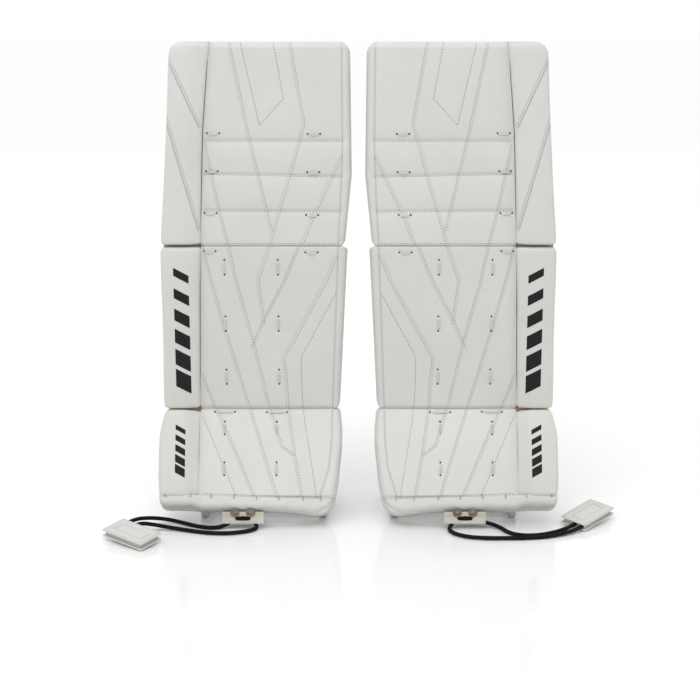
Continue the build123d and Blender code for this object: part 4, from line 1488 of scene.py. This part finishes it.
# ---------------------------------------------------------------- toe ties
TAB_TILT = math.radians(7.0)
TAB_TURN = {"left": 47.8, "right": -36.8}
TAB_MIDDLE = {"left": (343.0, -29.5, 11.0), "right": (-328.6, -110.0, 10.7)}


def tab_plane(side):
    """The plane that a tab lies in, turned on the floor and tilted up towards its back."""
    yaw = math.radians(TAB_TURN[side])
    x, y, z = TAB_MIDDLE[side]
    rise, run = math.sin(TAB_TILT), math.cos(TAB_TILT)
    along = (math.cos(yaw), math.sin(yaw) * run, math.sin(yaw) * rise)
    return Flat((x, FACE_Y + y, z), along, (0, -rise, run))


TABS = {side: tab_plane(side) for side in SIDES}

# Routes of the cords, in metres: across, behind the face plane, height; the last two points
# of each are on the tab's plane, in millimetres along it and across it.
ROUTES = {
    "right_toe_cord_far": ([
        (-0.1709, -0.054, 0.0165), (-0.1815, -0.054, 0.0165), (-0.192, -0.055, 0.0076),
        (-0.2045, -0.0604, 0.0034), (-0.222, -0.0626, 0.0032), (-0.2435, -0.0535, 0.0032),
        (-0.264, -0.0415, 0.004), (-0.287, -0.036, 0.0072), (-0.311, -0.0435, 0.012),
    ], [(-31.0, 38.0), (-31.0, 18.5)]),
    "right_toe_cord_near": ([
        (-0.1709, -0.054, 0.0165), (-0.1605, -0.054, 0.0165), (-0.1526, -0.0546, 0.0078),
        (-0.150, -0.0614, 0.0035), (-0.1555, -0.0705, 0.0032), (-0.171, -0.0798, 0.0032),
        (-0.196, -0.0855, 0.0032), (-0.226, -0.082, 0.0032), (-0.254, -0.0715, 0.0032),
        (-0.281, -0.0635, 0.0046), (-0.303, -0.064, 0.009),
    ], [(-17.0, 33.0), (-17.0, 18.5)]),
    "left_toe_cord_far": ([
        (0.1575, -0.054, 0.0165), (0.168, -0.054, 0.0165), (0.179, -0.0536, 0.0116),
        (0.191, -0.053, 0.0074), (0.203, -0.0545, 0.0044), (0.2125, -0.0645, 0.0032),
        (0.2185, -0.0785, 0.0032), (0.2285, -0.089, 0.0032), (0.2435, -0.094, 0.0032),
        (0.2635, -0.0925, 0.0032), (0.285, -0.084, 0.0036),
    ], [(-54.0, -2.5), (-34.5, -2.5)]),
    "left_toe_cord_near": ([
        (0.1575, -0.054, 0.0165), (0.147, -0.054, 0.0165), (0.1389, -0.0546, 0.0078),
        (0.1348, -0.0616, 0.0035), (0.134, -0.0715, 0.0032), (0.140, -0.085, 0.0032),
        (0.155, -0.0975, 0.0032), (0.179, -0.104, 0.0032), (0.212, -0.1046, 0.0032),
        (0.246, -0.1032, 0.0032), (0.276, -0.098, 0.0032), (0.300, -0.0875, 0.0038),
    ], [(-50.0, -14.5), (-34.5, -14.5)]),
}
CORD_DIAMETER = 0.006


def make_cord(name, side):
    on_floor, on_tab = ROUTES[name]
    points = [(x, y + FACE_Y * MM, z) for x, y, z in on_floor]
    points += [tuple(TABS[side].place(a, b, 0)) for a, b in on_tab]
    curve = bpy.data.curves.new(name + "_elastic", "CURVE")
    curve.dimensions = "3D"
    spline = curve.splines.new("NURBS")
    spline.points.add(len(points) - 1)
    for spot, point in zip(spline.points, points):
        spot.co = (*point, 1)
    spline.order_u = 3
    spline.use_endpoint_u = True
    spline.resolution_u = 10
    curve.bevel_depth = CORD_DIAMETER / 2
    curve.bevel_resolution = 5
    curve.use_fill_caps = True
    curve.materials.append(PAINT["tie_elastic"])
    cord = bpy.data.objects.new(name + "_elastic", curve)
    scene.collection.objects.link(cord)
    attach(cord, side + "_toe_tie")
    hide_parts(name)
    return cord, points[0]


def slab(plane, half_a, half_b, low, high, corner, cell, material, name,
         swell=0.0, emboss=None, edge=0.5, wave=0.0):
    """A flat piece in a plane: round corners, soft edges, an optional stamped frame or waviness."""
    a = np.linspace(-1, 1, int(2 * half_a / cell))
    b = np.linspace(-1, 1, int(2 * half_b / cell))
    grid_a, grid_b = np.meshgrid(a * half_a, b * half_b, indexing="ij")
    # squeeze the grid's corners to a rounded rectangle
    over_a = np.maximum(np.abs(grid_a) - (half_a - corner), 0)
    over_b = np.maximum(np.abs(grid_b) - (half_b - corner), 0)
    reach = np.hypot(over_a, over_b)
    longest = np.maximum(over_a, over_b)
    shrink = np.where(reach > 1e-9, longest / np.maximum(reach, 1e-9), 1)
    grid_a = np.sign(grid_a) * (np.abs(grid_a) - over_a + over_a * shrink)
    grid_b = np.sign(grid_b) * (np.abs(grid_b) - over_b + over_b * shrink)
    rim_gap = np.minimum(half_a - np.abs(grid_a), half_b - np.abs(grid_b))
    round_off = fall(rim_gap, edge)
    bend = swell * (1 - (grid_a / half_a) ** 2) * (1 - (grid_b / half_b) ** 2)
    bend = bend + wave * np.sin(grid_a / 21 + grid_b / 16) * (1 - (grid_a / half_a) ** 2)
    mark = np.zeros_like(grid_a)
    top = high + bend - round_off
    if emboss is not None:
        frame_a, frame_b, width, sink = emboss
        ring = np.maximum(np.abs(grid_a) / frame_a, np.abs(grid_b) / frame_b)
        line = np.abs(ring - 1) * min(frame_a, frame_b)
        top = top - sink * np.exp(-((line / width) ** 2))
        mark = 0.6 * np.exp(-((line / width) ** 2))
    under = low + bend + round_off
    upper, lower = plane.place(grid_a, grid_b, top), plane.place(grid_a, grid_b, under)
    vertices, faces = closed_sheet(upper, lower, *grid_a.shape)
    marks = np.concatenate([mark.ravel(), np.zeros(mark.size)])
    return mesh_object(name, vertices, faces, material, marks)


def make_tab(side):
    """Lower leaf, felt hook pad and upper leaf with a stamped frame."""
    plane = TABS[side]
    leaf = PAINT["tab_leather"]
    lower = slab(plane, 38.8, 22.4, -5.35, -3.4, 3, 0.9, leaf, side + "_tab_lower_leaf", edge=0.6)
    pad = slab(plane, 34.4, 18.4, -3.35, 3.35, 1, 0.9, PAINT["tab_pad"], side + "_tab_hook_pad",
               edge=0.4)
    upper = slab(plane, 38.8, 22.4, 3.65, 5.55, 3, 0.6, leaf, side + "_tab_upper_leaf",
                 emboss=(27, 9.5, 0.8, 0.7), edge=0.6)
    a, b = box_row(36, 20, 1.5)
    thread = sew(side + "_tab_stitching", [plane.place(a, b, 5.6)], 3.6, 2.3, 0.6)
    for piece in (lower, pad):
        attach(piece, side + "_toe_tie")
        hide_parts(side + "_toe_tab_base")
    for piece in (upper, thread):
        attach(piece, side + "_toe_tab")
    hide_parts(side + "_toe_tab_flap")
    return [lower, pad, upper, thread]


RIVET_SPOTS = {"left": 157.5, "right": -170.9}  # middle of each bridge
BRIDGE_FRONT = FACE_Y - 60.5
RIVET_PROFILE = (  # radius and how far in front of the bridge: domed head, then dished washer
    (0, -2.9), (1.2, -2.8), (2.3, -2.4), (3.0, -1.6), (3.2, -1.0), (3.9, -0.75), (4.7, -1.1),
    (5.6, -1.35), (6.4, -1.25), (6.8, -0.8), (6.9, -0.1),
)


def finish_bridge(side):
    """Leather on the loop itself; dished washers and domed heads for its two rivets."""
    loop = frame["nodes"][side + "_toe_bridge"].data
    loop.materials.clear()
    loop.materials.append(PAINT["bridge_leather"])
    sides = 32
    angle = np.linspace(0, 2 * math.pi, sides, endpoint=False)
    parts = []
    for offset in (-11.5, 11.5):
        x, z = RIVET_SPOTS[side] + offset, 25.8
        vertices = [(x, BRIDGE_FRONT + RIVET_PROFILE[0][1], z)]
        faces = [[0, 1 + k, 1 + (k + 1) % sides] for k in range(sides)]
        for radius, out in RIVET_PROFILE[1:]:
            vertices += [(x + radius * math.cos(a), BRIDGE_FRONT + out, z + radius * math.sin(a))
                         for a in angle]
        rings = len(RIVET_PROFILE) - 2
        for base in range(1, 1 + rings * sides, sides):
            for k in range(sides):
                j = (k + 1) % sides
                faces.append([base + k, base + j, base + sides + j, base + sides + k])
        faces.append([1 + rings * sides + k for k in range(sides)])
        parts.append((np.array(vertices) * MM, faces))
    vertices, faces = joined_mesh(parts)
    rivets = mesh_object(side + "_bridge_rivet_heads", vertices, faces, PAINT["rivet_metal"])
    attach(rivets, side + "_boot")
    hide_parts(side + "_toe_bridge_rivets")
    # the arched slot that the cord comes out through: a sheet in the cord's black laid on the
    # loop's front, partly the cord seen through the opening and partly painted shade inside it
    tree = surface_of(frame["nodes"][side + "_toe_bridge"])
    u, v = np.meshgrid(np.linspace(-0.98, 0.98, 25), np.linspace(0, 1, 9), indexing="ij")
    arch = 1 - u**2
    x = RIVET_SPOTS[side] + 11 * u
    z = 15.6 - 1.8 * arch + v * (0.4 + 6.6 * arch)
    front = np.full(x.shape, BRIDGE_FRONT)
    for spot in np.ndindex(x.shape):
        start = Vector((x[spot], BRIDGE_FRONT - 20, z[spot])) * MM
        hit, _, _, _ = tree.ray_cast(start, Vector((0, 1, 0)))
        if hit:
            front[spot] = min(hit.y / MM, BRIDGE_FRONT)
    plate = np.stack([x, front - 0.3, z], -1) * MM
    vertices, faces = closed_sheet(plate, plate + (0, 0.5 * MM, 0), *x.shape)
    slot = mesh_object(side + "_bridge_slot", vertices, faces, PAINT["tie_elastic"])
    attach(slot, side + "_boot")


def make_gussets():
    """Suede hinges behind the knee and boot breaks, bent to the lean of the sections above and
    below them.
    """
    breaks = (("knee", THIGH, SHIN, KNEE[2] / MM), ("boot", SHIN, BOOT, ANKLE[2] / MM))
    for name, upper, lower, height in breaks:
        inner = lower.edge("inner", height - lower.height) + 7
        outer = lower.edge("outer", height - lower.height) - 5
        x = np.linspace(inner, outer, 60)
        up = np.linspace(-9, 9, 13)
        grid_x, grid_up = np.meshgrid(x, up, indexing="ij")
        behind = np.clip((grid_x - lower.edge("crease", height - lower.height) + 4) / 5, 0, 1)
        depth = 2.4 + 6.1 * behind + (0.2 + 1.4 * behind) * np.exp(-((grid_up / 2.2) ** 2))
        lean = np.where(grid_up > 0, upper.lean, lower.lean)
        y = FACE_Y + depth * np.cos(lean) + grid_up * np.sin(lean)
        drop = depth * np.sin(lean) * np.clip(np.abs(grid_up) / 4, 0, 1)
        front = np.stack([grid_x, y, height + grid_up * np.cos(lean) - drop], -1) * MM
        vertices, faces = closed_sheet(front, front + (0, 1.6 * MM, 0), *grid_x.shape)
        tan = np.tile(np.clip((behind.ravel() - 0.5) / 0.5, 0, 1), 2)
        hinge = mesh_object(name + "_gusset", vertices, faces, PAINT["gusset_suede"], tan)
        other = mirrored(hinge, "right_" + name + "_gusset")
        hinge.name = "left_" + name + "_gusset"
        for side, one in (("left", hinge), ("right", other)):
            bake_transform(one)


make_camera()
cords = {name: make_cord(name, name.split("_")[0]) for name in ROUTES}
for side in SIDES:
    tab = make_tab(side)
make_light()
make_floor()

for section in SECTIONS:
    make_roll(section)
for section in SECTIONS:
    make_cover(section)
    make_stitching(section)
    make_laces(section)
    make_welt(section)
make_toe_band()
make_gussets()
make_backs()
for side in TABS:
    finish_bridge(side)
